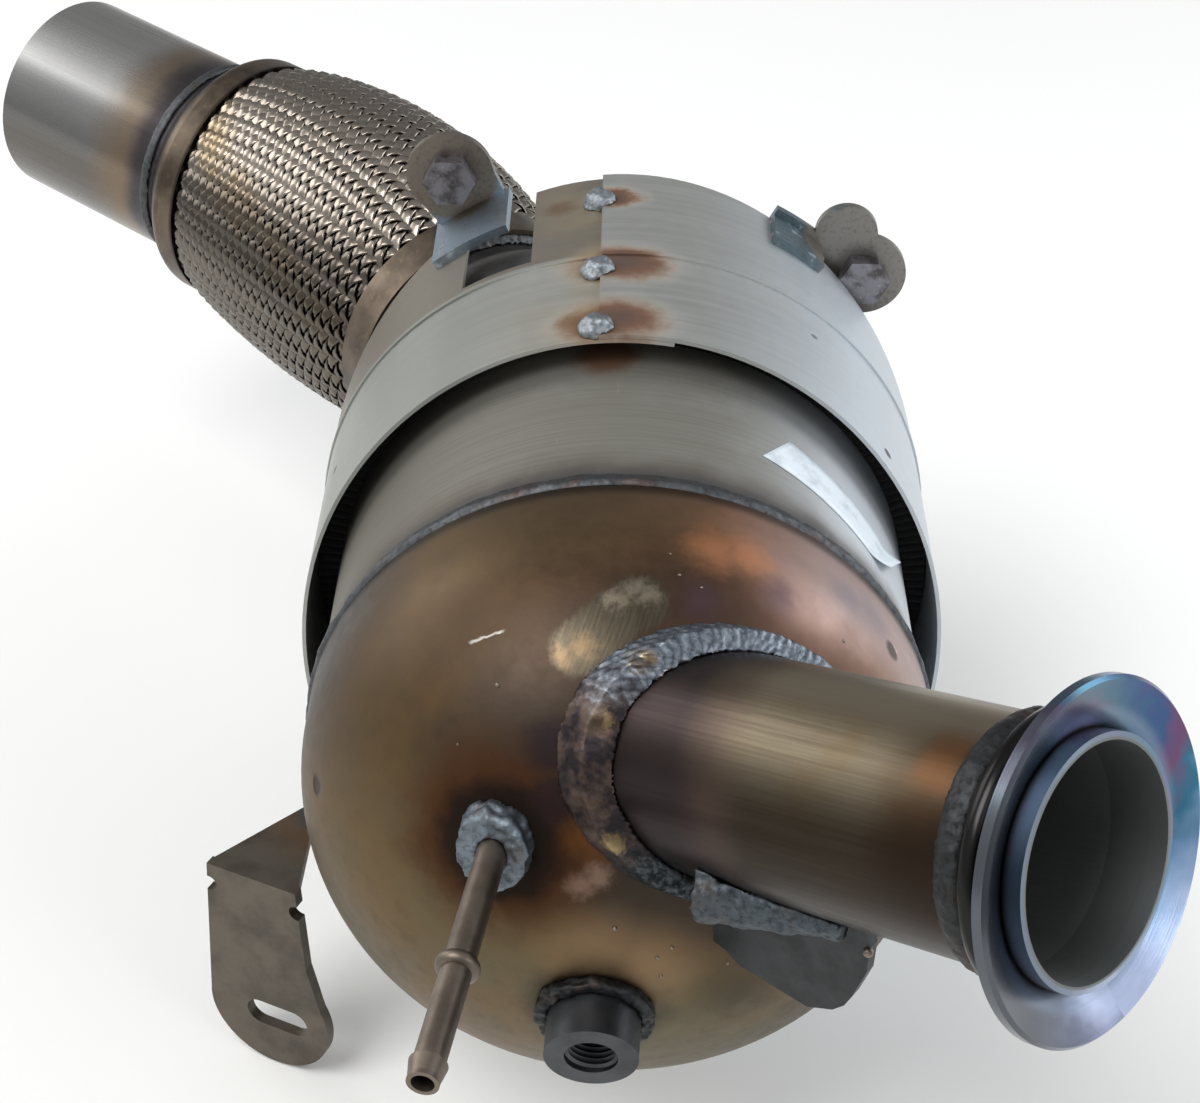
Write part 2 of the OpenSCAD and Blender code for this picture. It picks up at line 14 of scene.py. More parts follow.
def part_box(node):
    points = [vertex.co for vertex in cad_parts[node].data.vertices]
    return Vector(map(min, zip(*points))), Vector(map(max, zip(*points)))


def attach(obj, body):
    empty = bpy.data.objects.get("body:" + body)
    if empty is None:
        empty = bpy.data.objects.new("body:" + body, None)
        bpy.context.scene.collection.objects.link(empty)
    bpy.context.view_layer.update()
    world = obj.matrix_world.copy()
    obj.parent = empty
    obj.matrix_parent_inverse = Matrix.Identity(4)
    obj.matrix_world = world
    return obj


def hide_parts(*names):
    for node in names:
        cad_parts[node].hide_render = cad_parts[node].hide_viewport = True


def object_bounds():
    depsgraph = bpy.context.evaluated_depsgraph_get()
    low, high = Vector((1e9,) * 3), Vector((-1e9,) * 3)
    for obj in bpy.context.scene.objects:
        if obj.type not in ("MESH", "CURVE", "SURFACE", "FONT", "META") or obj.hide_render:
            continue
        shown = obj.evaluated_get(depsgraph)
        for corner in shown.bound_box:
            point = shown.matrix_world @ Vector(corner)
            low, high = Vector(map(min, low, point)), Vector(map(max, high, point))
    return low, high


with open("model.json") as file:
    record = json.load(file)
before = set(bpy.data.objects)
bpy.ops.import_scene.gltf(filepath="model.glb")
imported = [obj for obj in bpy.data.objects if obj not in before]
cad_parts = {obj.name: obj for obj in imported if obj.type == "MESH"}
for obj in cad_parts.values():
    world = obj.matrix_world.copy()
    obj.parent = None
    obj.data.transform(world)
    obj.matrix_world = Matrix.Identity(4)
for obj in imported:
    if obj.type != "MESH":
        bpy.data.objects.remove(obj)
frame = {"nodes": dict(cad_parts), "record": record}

bl_info = {
    "name": "Diesel Particulate Filter",
    "version": (1, 0, 0),
    "blender": (4, 5, 0),
    "location": "View3D > Sidebar > Filter",
    "description": "Welds, braid, label, finishes and stage for the packed particulate filter",
    "category": "Object",
}

NODES = frame["nodes"]
MOUNTS = {mount["name"]: mount for mount in frame["record"]["mounts"]}
CAD_BOX = [list(corner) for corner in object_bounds()]
MM = 0.001
UP = Vector((0, 0, 1))


def shade(code):
    """Linear colour of a screen colour written as six hexadecimal digits."""
    parts = [int(code[i:i + 2], 16) / 255 for i in (0, 2, 4)]
    return tuple(p / 12.92 if p <= 0.04045 else ((p + 0.055) / 1.055) ** 2.4 for p in parts)


def parts_of(colour):
    """Three linear parts of a colour, which may be written as six hexadecimal digits."""
    return shade(colour) if isinstance(colour, str) else tuple(colour)


def darker(colour, share):
    """Parts of a colour, each taken down to a share."""
    return tuple(part * share for part in parts_of(colour))


def square_to(axis):
    """Directions up and to the side, square to an axis."""
    up = (UP - UP.dot(axis) * axis).normalized()
    return up, up.cross(axis)


def middle(node):
    """Middle of a node's box in millimetres."""
    low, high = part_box(node)
    return (low + high) / 2 / MM


def mount_line(name):
    """Point in millimetres and direction of a mount's axis."""
    mount = MOUNTS[name]
    return Vector(mount["pos_m"]) / MM, Vector(mount["axis"]).normalized()


# Places on the part, in millimetres, from its nodes and mounts
CAN = middle("can_shell")
CAN_AXIS = Vector((0, 1, 0))
CAN_R = (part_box("can_shell")[1].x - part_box("can_shell")[0].x) / 2 / MM
RIM_Y = middle("rim_weld").y
SHIELD_R = (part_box("heat_shield")[1].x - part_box("heat_shield")[0].x) / 2 / MM
MOUTH, INLET = mount_line("inlet_bore")
OUTLET_END, OUTLET = mount_line("outlet_bore")
BOSS, BOSS_AXIS = mount_line("temperature_port")
SENSE = middle("pressure_pipe_weld")
BOSS_HEIGHT = 12
BOSS_ROOT = BOSS - BOSS_HEIGHT * BOSS_AXIS
OUTLET_WELD = middle("outlet_pipe_weld")
OUTLET_LENGTH = 88
FLEX_FAR = OUTLET_END - OUTLET_LENGTH * OUTLET


def on_can(radius, along, turn):
    """Point at a radius and a turn in degrees around the can, at a height along the part's Y axis."""
    a = math.radians(turn)
    return Vector((CAN.x + radius * math.sin(a), along, CAN.z + radius * math.cos(a)))


class BraidSizes(bpy.types.PropertyGroup):
    """Sizes of the woven sleeve of the coupling, in millimetres."""

    strands: IntProperty(
        name="Strands", description="Wire bundles in each direction", default=36, min=8, max=48)
    wires: IntProperty(
        name="Wires", description="Wires side by side in a bundle", default=3, min=2, max=8)
    wire: FloatProperty(
        name="Wire height", description="Height of a wire above its bundle, in mm", default=0.14)
    width: FloatProperty(
        name="Bundle width", description="Width of a bundle, in mm", default=3.9)
    length: FloatProperty(
        name="Length", description="Length of the bent middle line, in mm", default=106)
    end_radius: FloatProperty(
        name="End radius", description="Outer radius under the end rings, in mm", default=39.75)
    bulge: FloatProperty(
        name="Bulge", description="How far the middle stands out past the ends, in mm", default=8.75)
    turn: FloatProperty(
        name="Turn", description="Turn of a bundle along the sleeve, degrees per mm", default=2.2)
    start_turn: FloatProperty(
        name="Heading", description="Heading of the near end from -Y, in degrees", default=-147)
    start_rise: FloatProperty(
        name="Rise", description="Rise of the near end, in degrees", default=6)


class WeldSizes(bpy.types.PropertyGroup):
    """Sizes of the weld ripples, in millimetres."""

    grain: FloatProperty(
        name="Grain", description="Mesh size of the beads, in mm", default=0.55, min=0.3)
    pitch: FloatProperty(
        name="Ripple pitch", description="Distance between two ripples, in mm", default=2.6)
    height: FloatProperty(
        name="Ripple height", description="Height of a ripple, in mm", default=0.55)
    spatter: IntProperty(
        name="Spatter", description="Drops thrown off by the pipe weld", default=16)


class LabelSizes(bpy.types.PropertyGroup):
    """Place of the bare label strip on the can: turns in degrees, lengths in millimetres."""

    start_turn: FloatProperty(name="Start", description="Turn of the flat end", default=26.9)
    end_turn: FloatProperty(name="End", description="Turn of the lifted end", default=57.8)
    start_y: FloatProperty(name="Start height", description="Height of the flat end", default=149.6)
    end_y: FloatProperty(name="End height", description="Height of the lifted end", default=139.6)
    width: FloatProperty(name="Width", description="Width along the can", default=13)
    skew: FloatProperty(name="Skew", description="Lead of the rear edge, degrees", default=6.3)
    lift: FloatProperty(name="Lift", description="Lift of the loose end", default=2.4)


def colour_value(name, description, code):
    """Colour property with a screen colour as its default."""
    return FloatVectorProperty(name=name, description=description, subtype="COLOR", default=shade(code))


class FinishColours(bpy.types.PropertyGroup):
    """Colours of the finishes."""

    can: colour_value("Can", "Rolled can", "87857d")
    cap: colour_value("Cap", "Domed cap away from the welds", "635b46")
    pipe: colour_value("Inlet pipe", "Brushed inlet pipe", "7d7361")
    shield: colour_value("Shield", "Satin heat shield", "b9bab7")
    weld: colour_value("Weld", "Dark weld bead", "676b72")
    blob: colour_value("Bright weld", "Silver tack welds", "8e9499")
    braid: colour_value("Braid", "Woven wire", "a1988e")
    outlet: colour_value("Outlet pipe", "Polished outlet pipe", "acacab")
    label: colour_value("Label", "Bare label film", "d5dee5")
    floor: colour_value("Floor", "Studio floor", "f2f2f0")


class Value:
    """A shader socket in a Python expression; numbers join in from either side."""

    def __init__(self, finish, socket):
        self.finish = finish
        self.socket = socket

    def math(self, operation, *others):
        """Result of a Math node that takes this value first."""
        return self.finish.node("Math", {"operation": operation}, dict(enumerate((self, *others))))

    def __add__(self, other):
        return self.math("ADD", other)

    __radd__ = __add__

    def __mul__(self, other):
        return self.math("MULTIPLY", other)

    __rmul__ = __mul__

    def __sub__(self, other):
        return self.math("SUBTRACT", other)

    def __rsub__(self, other):
        return self.finish.node("Math", {"operation": "SUBTRACT"}, {0: other, 1: self})

    def __truediv__(self, other):
        return self.math("DIVIDE", other)

    def __rtruediv__(self, other):
        return self.finish.node("Math", {"operation": "DIVIDE"}, {0: other, 1: self})

    def __pow__(self, other):
        return self.math("POWER", other)

    def __abs__(self):
        return self.math("ABSOLUTE")

    def most(self, other):
        return self.math("MAXIMUM", other)

    def least(self, other):
        return self.math("MINIMUM", other)

    def wave(self, length):
        """A sine from 0 to 1 that repeats after a length."""
        return (self * (2 * math.pi / length)).math("SINE") * 0.5 + 0.5

    def step(self, low, high):
        """Smooth step from 0 at low to 1 at high; low may be the larger one."""
        settings = {"interpolation_type": "SMOOTHSTEP"}
        return self.finish.node("MapRange", settings, {0: self, 1: low, 2: high})


class Finish:
    """A material and the few calls that its nodes are written with. Lengths are millimetres."""

    def __init__(self, name, **constants):
        self.material = bpy.data.materials.new(name)
        self.material.use_nodes = True
        self.tree = self.material.node_tree
        self.shader = self.tree.nodes["Principled BSDF"]
        for key, value in constants.items():
            self.shader.inputs[key.replace("_", " ")].default_value = value
        self.base = None
        metres = self.node("TexCoord", out="Object")
        self.place = self.node("VectorMath", {"operation": "SCALE"}, {0: metres, "Scale": 1 / MM})

    def node(self, kind, settings=None, sockets=None, out=0):
        """Adds a node: its settings first, then the values or links of its sockets."""
        made = self.tree.nodes.new("ShaderNode" + kind)
        for key, value in (settings or {}).items():
            if key == "stops":
                self.fill_ramp(made.color_ramp, value)
            else:
                setattr(made, key, value)
        for key, value in (sockets or {}).items():
            if isinstance(value, Value):
                self.tree.links.new(value.socket, made.inputs[key])
            else:
                made.inputs[key].default_value = value
        return Value(self, made.outputs[out])

    @staticmethod
    def fill_ramp(ramp, stops):
        while len(ramp.elements) < len(stops):
            ramp.elements.new(1)
        for element, (position, colour) in zip(ramp.elements, stops):
            element.position = position
            element.color = (*parts_of(colour), 1)

    def mix(self, first, second, share, blend="MIX"):
        """Blend of two colours, each from another node or written down."""
        sides = [c if isinstance(c, Value) else (*parts_of(c), 1) for c in (first, second)]
        settings = {"data_type": "RGBA", "blend_type": blend}
        return self.node("Mix", settings, {0: share, 6: sides[0], 7: sides[1]}, 2)

    def ramp(self, value, stops):
        return self.node("ValToRGB", {"stops": stops}, {0: value})

    def noise(self, size, detail=3, roughness=0.55, vector=None):
        """Cloudy value around 0.5 with features of about that size."""
        where = vector or self.place
        sockets = {"Vector": where, "Scale": 1 / size, "Detail": detail, "Roughness": roughness}
        return self.node("TexNoise", None, sockets)

    def vector(self, operation, first, second, out=0):
        return self.node("VectorMath", {"operation": operation}, {0: first, 1: second}, out)

    def combine(self, x, y, z):
        return self.node("CombineXYZ", None, {0: x, 1: y, 2: z})

    def distance(self, point):
        """Distance from a point."""
        return self.vector("DISTANCE", self.place, tuple(point), "Value")

    def along(self, point, direction):
        """Distance past a point in a direction."""
        past = self.vector("SUBTRACT", self.place, tuple(point))
        return self.vector("DOT_PRODUCT", past, tuple(direction), "Value")

    def around(self, point, axis):
        """Distance along an axis, radius, and turn in degrees from the top, clockwise seen from its tip."""
        up, side = square_to(axis)
        x = self.along(point, side)
        y = self.along(point, up)
        turn = x.math("ARCTAN2", y) * (180 / math.pi)
        return self.along(point, axis), (x * x + y * y) ** 0.5, turn

    def can_place(self):
        """Place on the can: Y, radius and turn in degrees from the top towards +X."""
        y, radius, turn = self.around(CAN, CAN_AXIS)
        return y + CAN.y, radius, turn * -1

    def spots(self, points, size, soft=0.35, ragged=0.0):
        """Mask of round spots with soft, or ragged, edges."""
        near = None
        for point in points:
            gap = self.distance(point)
            near = gap if near is None else near.least(gap)
        if ragged:
            near = near + (self.noise(size * 0.45, 4, 0.65) - 0.5) * (2 * ragged * size)
        return near.step(size, size * (1 - soft))

    def over(self, colour, share):
        """Lays a colour over what the finish has so far."""
        self.base = self.mix(self.base, colour, share)

    def stain(self, colour, share, points, size, soft, ragged=0.0):
        """Lays spots of a colour over what the finish has so far."""
        self.over(colour, self.spots(points, size, soft, ragged) * share)

    def bump(self, height, distance, strength=1.0):
        sockets = {"Height": height, "Distance": distance * MM, "Strength": strength}
        return self.node("Bump", None, sockets)

    def surface(self, roughness, normal=None, metallic=None):
        """Feeds the shader and hands back the material."""
        feeds = {"Base Color": self.base, "Roughness": roughness, "Normal": normal, "Metallic": metallic}
        for key, value in feeds.items():
            if isinstance(value, Value):
                self.tree.links.new(value.socket, self.shader.inputs[key])
            elif value is not None:
                self.shader.inputs[key].default_value = value
        return self.material

    def streaks(self, axis_point, axis, fine, long=60.0, detail=3):
        """Fine brush lines along an axis."""
        t, radius, turn = self.around(axis_point, axis)
        lines = self.combine(turn * (0.6 / fine), t * (1 / long), radius * 0.05)
        return self.noise(1, detail, 0.6, lines)

    def hoops(self, axis_point, axis, fine, long=40.0, detail=3):
        """Fine brush lines around an axis."""
        t, radius, turn = self.around(axis_point, axis)
        lines = self.combine(t * (1 / fine), turn * (1 / long), radius * (1 / fine))
        return self.noise(1, detail, 0.6, lines)


class Sky(Finish):
    """The world around the part, written with the same calls; places are directions."""

    def __init__(self, world):
        self.tree = world.node_tree
        self.background = self.tree.nodes["Background"]
        self.place = self.node("TexCoord", out="Generated")


def colours():
    """Colours that the panel shows."""
    return bpy.context.scene.filter_colours


def cap_finish():
    """Domed cap: bronze sheet with temper bands around the welds, stains, a ground patch and a scratch;
    painted highlights and painted shade on the dome, and painted shade in the dimples.
    """
    f = Finish("cap_steel", Metallic=1.0)
    y, radius, turn = f.can_place()
    _, pipe_gap, _ = f.around(MOUTH, INLET)
    cloud = f.noise(34, 4)
    fine = f.noise(5, 5, 0.65)
    f.base = f.mix(colours().cap, "6f5638", cloud.step(0.42, 0.68) * 0.75)
    f.over("4c453d", fine.step(0.5, 0.75) * 0.35)
    # Painted highlight on the upper dome, brown turning orange towards the right
    top = (radius - 40).step(0, 34) * abs(turn - 18).step(70, 10)
    painted_highlight = f.mix("75604c", "b48468", (turn + cloud * 26).step(8, 40))
    f.over(painted_highlight, top * (0.6 + 0.7 * cloud))
    band = pipe_gap + (cloud - 0.5) * 16 + (fine - 0.5) * 5
    tint = f.ramp(band.step(26, 78), [
        (0.0, "2b2625"), (0.14, "382d28"), (0.26, "4b392c"), (0.4, "5a4833"),
        (0.65, "625239"), (1.0, "635b46")])
    f.over(tint, band.step(76, 34) * 0.85)
    rust = f.spots([SENSE], 31, 0.55, 0.22)
    f.over("4d301d", rust * 0.85)
    # Painted shadow around the root of the pressure pipe
    f.stain("211e1c", 0.85, [SENSE], 18, 0.35, 0.2)
    f.stain("2a2826", 0.8, [BOSS_ROOT], 21, 0.5, 0.2)
    pale = [on_can(71, 101, 40), on_can(68, 97, 48)]
    f.stain("b79f98", 0.55, pale, 12, 0.8, 0.3)
    lilac = (turn + cloud * 22).step(26, 54) * (y - RIM_Y + cloud * 14).step(-34, -12)
    f.over("a89796", lilac * 0.75)
    f.over("3f3a36", (y - RIM_Y).step(-16, -3) * 0.3)
    f.over("262220", (y - RIM_Y).step(-8, -4.5) * 0.7)
    # Painted light: the lower dome a little lighter
    low = f.along(CAN, UP).step(-18, -62)
    f.over("6b5c4c", low * 0.45)
    # Painted shade on the lower right of the dome
    right = abs(turn - 112).step(46, 14) * (radius - 40).step(0, 22)
    f.over("3b322b", right * 0.5)
    # Patch ground bare above the weld
    crescent = [(-88.6, 83.5, -0.3), (-93, 81, -1.6), (-97.5, 77.7, -3.7), (-101.5, 74.6, -6.2)]
    ground = f.spots(crescent, 8, 0.3, 0.3)
    gold = f.spots([(-106, 73.4, -8), (-101, 75, -6.4)], 5, 1.0, 0.9)
    upper = f.spots([(-86.5, 85.5, 0.6), (-89.5, 87, 1.3), (-94, 84.6, 0)], 4.6, 1.0, 0.9)
    lines = f.combine(f.along(CAN, (0.5, 0, 0.87)) * 0.2, f.along(CAN, (0.87, 0, -0.5)) * 2, 0)
    scrape = f.noise(1, 3, 0.6, lines)
    bare = f.mix("423c33", "5d5547", scrape.step(0.15, 0.85))
    bare = f.mix(bare, "7d674d", gold * 0.6)
    bare = f.mix(bare, "988d7b", upper * 0.7)
    f.over(bare, ground)
    # Burnt beside the weld, pale low down, painted shade at the bottom, a painted orange highlight, purple
    # and lilac above the pipe, rust below
    f.stain("2e2629", 0.8, [(-108, 60, -22), (-107, 52, -32)], 9, 0.7, 0.3)
    f.stain("957a5c", 0.55, [(-97, 43, -71), (-88, 43, -74)], 20, 1.0)
    # Painted shade at the bottom of the dome
    f.stain("2f2822", 0.6, [(-64.6, 48.5, -86)], 18, 1.0, 0.2)
    # Painted orange highlight above the pipe
    f.stain("e59a6e", 0.45, [(-72, 101, 2), (-64, 102.6, 0)], 11, 1.0, 0.4)
    f.stain("55434a", 0.7, [(-75, 86, -1.3), (-57, 93.8, -5.5)], 8, 1.0, 0.3)
    f.stain("857a7d", 0.8, [(-39, 106, -15.6), (-34, 108, -22)], 10, 1.0, 0.3)
    f.stain("744a29", 0.6, [(-98, 49, -42), (-101, 50, -40)], 7, 1.0, 0.4)
    bronze = [(-101.5, 46.3, -51), (-97.5, 46.6, -48.5)]
    f.stain("94796a", 0.6, bronze, 5, 0.9, 0.5)
    # Dimples painted dark: painted shade in the pressed hollows
    dimples = f.spots([(-165, 85, -56.4), (-28.7, 103, -28.2)], 3.2, 0.5)
    f.over("1e1a17", dimples * 0.8)
    middle_of_scratch = (-123, 81, -8.3)
    sway = (f.noise(2.5, 2) - 0.5) * 1.6
    scratch = abs(f.along(middle_of_scratch, (-0.312, 0.655, 0.689)) + sway).step(0.5, 0.15)
    scratch = scratch * abs(f.along(middle_of_scratch, (0.907, -0.011, 0.421))).step(5, 3.4)
    f.over("9f9b92", scratch * fine.step(0.4, 0.55))
    rough = 0.34 + 0.22 * fine - 0.06 * ground + 0.25 * rust
    height = fine * 0.35 + f.noise(1.1, 2) * 0.1 + scrape * ground * 0.1 - dimples * 4
    return f.surface(rough, f.bump(height, 0.25, 0.5))


def can_finish():
    """Rolled can: taupe stainless, brushed round, browned beside the rim weld, with painted light on the
    right and painted shade on the left.
    """
    f = Finish("can_steel", Metallic=0.7)
    y, _, turn = f.can_place()
    hoop = f.hoops(CAN, CAN_AXIS, 0.8)
    cloud = f.noise(26, 4)
    f.base = f.mix(colours().can, "77746b", hoop.step(0.35, 0.7) * 0.6)
    f.over("9b9a96", cloud.step(0.5, 0.8) * 0.45)
    # Painted light: the right side of the can lighter and bluish
    f.over("c4c9ce", (turn + cloud * 14).step(22, 60) * 0.85)
    # Painted shade on the left side of the can
    f.over("66635b", turn.step(-14, -52) * 0.8)
    burn = (y - RIM_Y + (cloud - 0.5) * 12).step(17, 3)
    f.over("564c45", burn * 0.75)
    f.over("45484a", (y - RIM_Y + (cloud - 0.5) * 6).step(10, 2) * 0.7)
    f.stain("6b4528", 0.8, [on_can(CAN_R, 184, -3)], 12, 0.6, 0.3)
    scuff = f.noise(1, 4, 0.7, f.combine(y * 0.05, turn * 0.5, cloud * 2)).step(0.66, 0.74)
    f.over("b5b3ad", scuff * 0.4)
    return f.surface(0.5 + 0.2 * hoop, f.bump(hoop * 0.5 + cloud, 0.1, 0.25))


def shield_finish(seam_turn=-4.0):
    """Heat shield: satin sheet with burnt patches beside the tack welds and small pressed slits painted
    dark as shade, with painted light on the right and painted shade on the left.
    """
    f = Finish("shield_sheet")
    y, _, turn = f.can_place()
    roll = f.hoops(CAN, CAN_AXIS, 2.5, 90)
    cloud = f.noise(30, 4)
    fine = f.noise(4, 4, 0.65)
    f.base = f.mix(colours().shield, "a4a59f", roll.step(0.35, 0.7) * 0.5)
    # Painted light: the right side lighter and bluish
    f.over("c6ced6", (turn + cloud * 20).step(18, 60) * 0.7)
    past_seam = (turn - seam_turn) * (math.pi / 180 * SHIELD_R)
    left = past_seam.step(0.4, -0.4)
    # Painted shade in a band on the left
    f.over("8f918c", turn.step(-14, -34) * turn.step(-82, -64) * 0.8)
    f.over("7d766c", left * (y - 222).step(-1, 2) * 0.8)
    f.over("b9a98a", left * past_seam.step(-34, -3) * cloud.step(0.3, 0.6) * 0.5)
    ragged = (fine - 0.5) * 5 + (cloud - 0.5) * 11
    burnt = None
    for tack_y, reach, shift in ((254, 6, 3), (216, 11, 6), (186, 12, 4)):
        away = (((past_seam - shift) * 0.75) ** 2 + (y - tack_y - 1) ** 2) ** 0.5 + ragged
        mark = away.step(reach * 1.45, reach * 0.15)
        burnt = mark if burnt is None else burnt.most(mark)
    rust = f.ramp(burnt, [
        (0.0, "bcae94"), (0.35, "9a744c"), (0.7, "70492f"), (1.0, "4b3121")])
    f.over(rust, burnt.step(0.0, 0.8) * 0.92)
    scorched = [on_can(SHIELD_R, 188, -9), on_can(SHIELD_R, 254, -12)]
    f.stain("7d6044", 0.55, scorched, 6, 0.7, 0.4)
    # Slits painted dark: painted shade in the pressed slits
    slits = f.spots([on_can(SHIELD_R, 192.9, -65.5), on_can(SHIELD_R, 179.7, 54)], 2.0, 0.4)
    slits = slits.most(f.spots([on_can(SHIELD_R, 208, 36.4)], 1.4, 0.5) * 0.6)
    f.over("3b3a38", slits * 0.9)
    metal = 0.92 - 0.5 * burnt
    height = roll * 0.4 + cloud * 1.2 - slits * 2
    return f.surface(0.42 + 0.14 * fine + 0.2 * burnt, f.bump(height, 0.3, 0.3), metal)


def pipe_finish():
    """Inlet pipe: brushed, olive, brown towards the flange and purple-black at the cap weld, with a painted
    highlight along the top and painted shade below it.
    """
    f = Finish("pipe_steel", Metallic=1.0)
    t, radius, turn = f.around(MOUTH, INLET)
    lines = f.streaks(MOUTH, INLET, 0.9, 40)
    cloud = f.noise(17, 4)
    f.base = f.mix(colours().pipe, "625847", lines.step(0.35, 0.7) * 0.6)
    f.over("75603f", cloud.step(0.45, 0.75) * 0.5)
    heat = t + (cloud - 0.5) * 9
    f.over("473222", heat.step(-44, -24) * 0.85)
    f.over("3a2a22", heat.step(-24, -16) * 0.85)
    weld_side = heat + turn.wave(360) * 9
    # Painted highlight along the top of the pipe
    f.over("9a8e7a", abs(turn - 8).step(30, 8) * 0.7)
    # Painted shade in a band along the pipe
    f.over("463d33", abs(turn + 34).step(18, 6) * 0.45)
    # Painted shade on the underside of the pipe
    f.over("251d18", abs(turn + 122).step(88, 50) * 0.9)
    # Orange-brown heat tint by the flange, with a painted glint
    orange = abs(heat + 25).step(8, 2) * abs(turn + 24).step(22, 8)
    f.over("7b5130", orange * 0.4)
    f.over("51423d", weld_side.step(-68, -80) * 0.6)
    f.over("2b2528", weld_side.step(-75, -91) * 0.8)
    inside = radius.step(25.4, 25.0)
    f.over("868987", inside * 0.95)
    return f.surface(0.25 + 0.2 * lines + 0.3 * inside, f.bump(lines + cloud * 0.6, 0.08, 0.25))


def flange_finish():
    """Turned flange: temper colours run round the dish, the collar behind it stays dark."""
    f = Finish("flange_steel", Metallic=1.0)
    t, radius, turn = f.around(MOUTH, INLET)
    cloud = f.noise(11, 2)
    wash = turn + (cloud - 0.5) * 75 + (radius - 31) * 3
    temper = f.ramp(wash / 360 + 0.5, [
        (0.0, "bcc3da"), (0.08, "84889c"), (0.2, "5b5d62"), (0.36, "63676d"),
        (0.46, "788490"), (0.53, "6a6078"), (0.59, "456a7c"), (0.66, "3d5680"),
        (0.72, "6b4a6a"), (0.77, "366a84"), (0.84, "7090ae"), (1.0, "bcc3da")])
    rings = f.hoops(MOUTH, INLET, 0.5, 120)
    back = t.step(-3.6, -4.6)
    temper = f.mix(temper, "565a60", abs(turn + 85).step(85, 40) * 0.7)
    groove = radius.step(31.5, 29) * t.step(-4.6, -3)
    temper = f.mix(temper, "7f8ea0", groove * 0.5)
    f.base = f.mix(temper, "2b2a2a", back)
    f.over("1f1e1d", t.step(-9.5, -12.5) * 0.85)
    inside = radius.step(25.2, 24.6)
    f.over("777a78", inside * 0.95)
    return f.surface(0.17 + 0.14 * rings + 0.4 * inside, f.bump(rings, 0.05, 0.3))


def weld_finish(name, colour, brown=0.35):
    """Weld bead: scaly metal, browned in places."""
    f = Finish(name, Metallic=1.0)
    scale = f.noise(1.6, 5, 0.65)
    cloud = f.noise(9, 3)
    f.base = f.mix(colour, darker(colour, 0.38), scale.step(0.45, 0.72) * 0.8)
    f.over("5a4232", cloud.step(0.52, 0.7) * brown)
    return f.surface(0.36 + 0.34 * scale, f.bump(scale, 0.35, 0.5))


def pipe_weld_finish():
    """Weld of the inlet pipe: blue-grey on top with painted highlights and painted shade on its ripples,
    burnt and polished on one side with painted gold and cream glints, dark scale below.
    """
    f = Finish("pipe_weld_metal", Metallic=1.0)
    _, radius, turn = f.around(MOUTH, INLET)
    scale = f.noise(1.4, 5, 0.65)
    cloud = f.noise(6, 4)
    f.base = f.mix("767d86", "3a3e43", scale.step(0.4, 0.7) * 0.6)
    # Painted highlights on the ripple crests and painted shade between them
    ripple_light_and_shade = (turn * 0.54 + ((radius - 31) * 0.4) ** 2 + cloud * 7 + scale * 1.2).wave(2.4)
    f.over("a4acb5", ripple_light_and_shade.step(0.7, 0.95) * cloud.step(0.35, 0.6) * 0.55)
    f.over("2a2d31", ripple_light_and_shade.step(0.3, 0.08) * 0.4)
    drift = turn + (cloud - 0.5) * 50
    side = drift.step(-22, -42)
    burnt = f.mix("2d2526", "5c4b41", cloud.step(0.4, 0.62))
    f.over(burnt, side * 0.92)
    f.over(f.mix("26292b", "4e5457", scale.step(0.4, 0.65)), drift.step(-100, -120))
    # Painted gold and cream reflections on the polished side
    glint_points = [(-91, 69.5, -2.2), (-88, 67.5, -4), (-94.4, 43.9, -37.4), (-97.3, 58, -13.3)]
    gold = f.spots(glint_points, 4, 0.7, 0.7)
    f.over(f.mix("9a8560", "5d4e3c", cloud.step(0.45, 0.6)), gold * 0.75)
    painted_cream_glint = f.spots([(-81.5, 64.2, -7.7), (-85.2, 61.2, -10.1), (-86.5, 47, -30.4)], 3.6, 0.7, 0.7)
    f.over("cdbfa6", painted_cream_glint * 0.9)
    polish_and_glints = gold.most(painted_cream_glint)
    rough = 0.34 + 0.3 * scale - 0.14 * polish_and_glints
    return f.surface(rough, f.bump(scale, 0.2, 0.35))


def outlet_finish():
    """Outlet pipe: polished tube with a brown and blue-black heat band at its weld, with painted shade at
    the sides and below and a painted dark reflection band.
    """
    f = Finish("outlet_steel", Metallic=1.0)
    t, radius, turn = f.around(OUTLET_WELD, OUTLET)
    lines = f.streaks(OUTLET_WELD, OUTLET, 1.3, 70)
    cloud = f.noise(22, 3)
    f.base = f.mix(colours().outlet, "8d8b86", lines.step(0.35, 0.7) * 0.35)
    heat = t + (cloud - 0.5) * 14
    # Painted shade at the sides and underside of the pipe
    f.over("524c46", abs(turn + 8).step(58, 98) * 0.85)
    # Painted dark reflection band beside the highlight
    f.over("5f6163", abs(turn - 64).step(24, 8) * 0.5)
    f.over("7d6b56", heat.step(30, 13) * 0.8)
    f.over("424046", heat.step(14, 4) * 0.9)
    f.over("55504a", radius.step(32.6, 32.2) * 0.7)
    return f.surface(0.21 + 0.12 * lines, f.bump(lines + cloud, 0.06, 0.2))


def flex_finish(name="flex_steel"):
    """End rings and inner tubes of the coupling: browned stainless, blued at the outlet weld."""
    f = Finish(name, Metallic=1.0)
    past = f.along(OUTLET_WELD, OUTLET)
    cloud = f.noise(15, 4)
    fine = f.noise(2.5, 4)
    f.base = f.mix("685d51", "4c433b", cloud.step(0.38, 0.66))
    f.over("8a785c", fine.step(0.55, 0.75) * 0.35)
    f.over("45454a", (past + (cloud - 0.5) * 6).step(-9, -3) * 0.85)
    f.over("2a2622", past.step(-18.6, -19.6) * past.step(-22, -20.5) * 0.8)
    return f.surface(0.3 + 0.22 * fine, f.bump(fine + cloud, 0.12, 0.3))


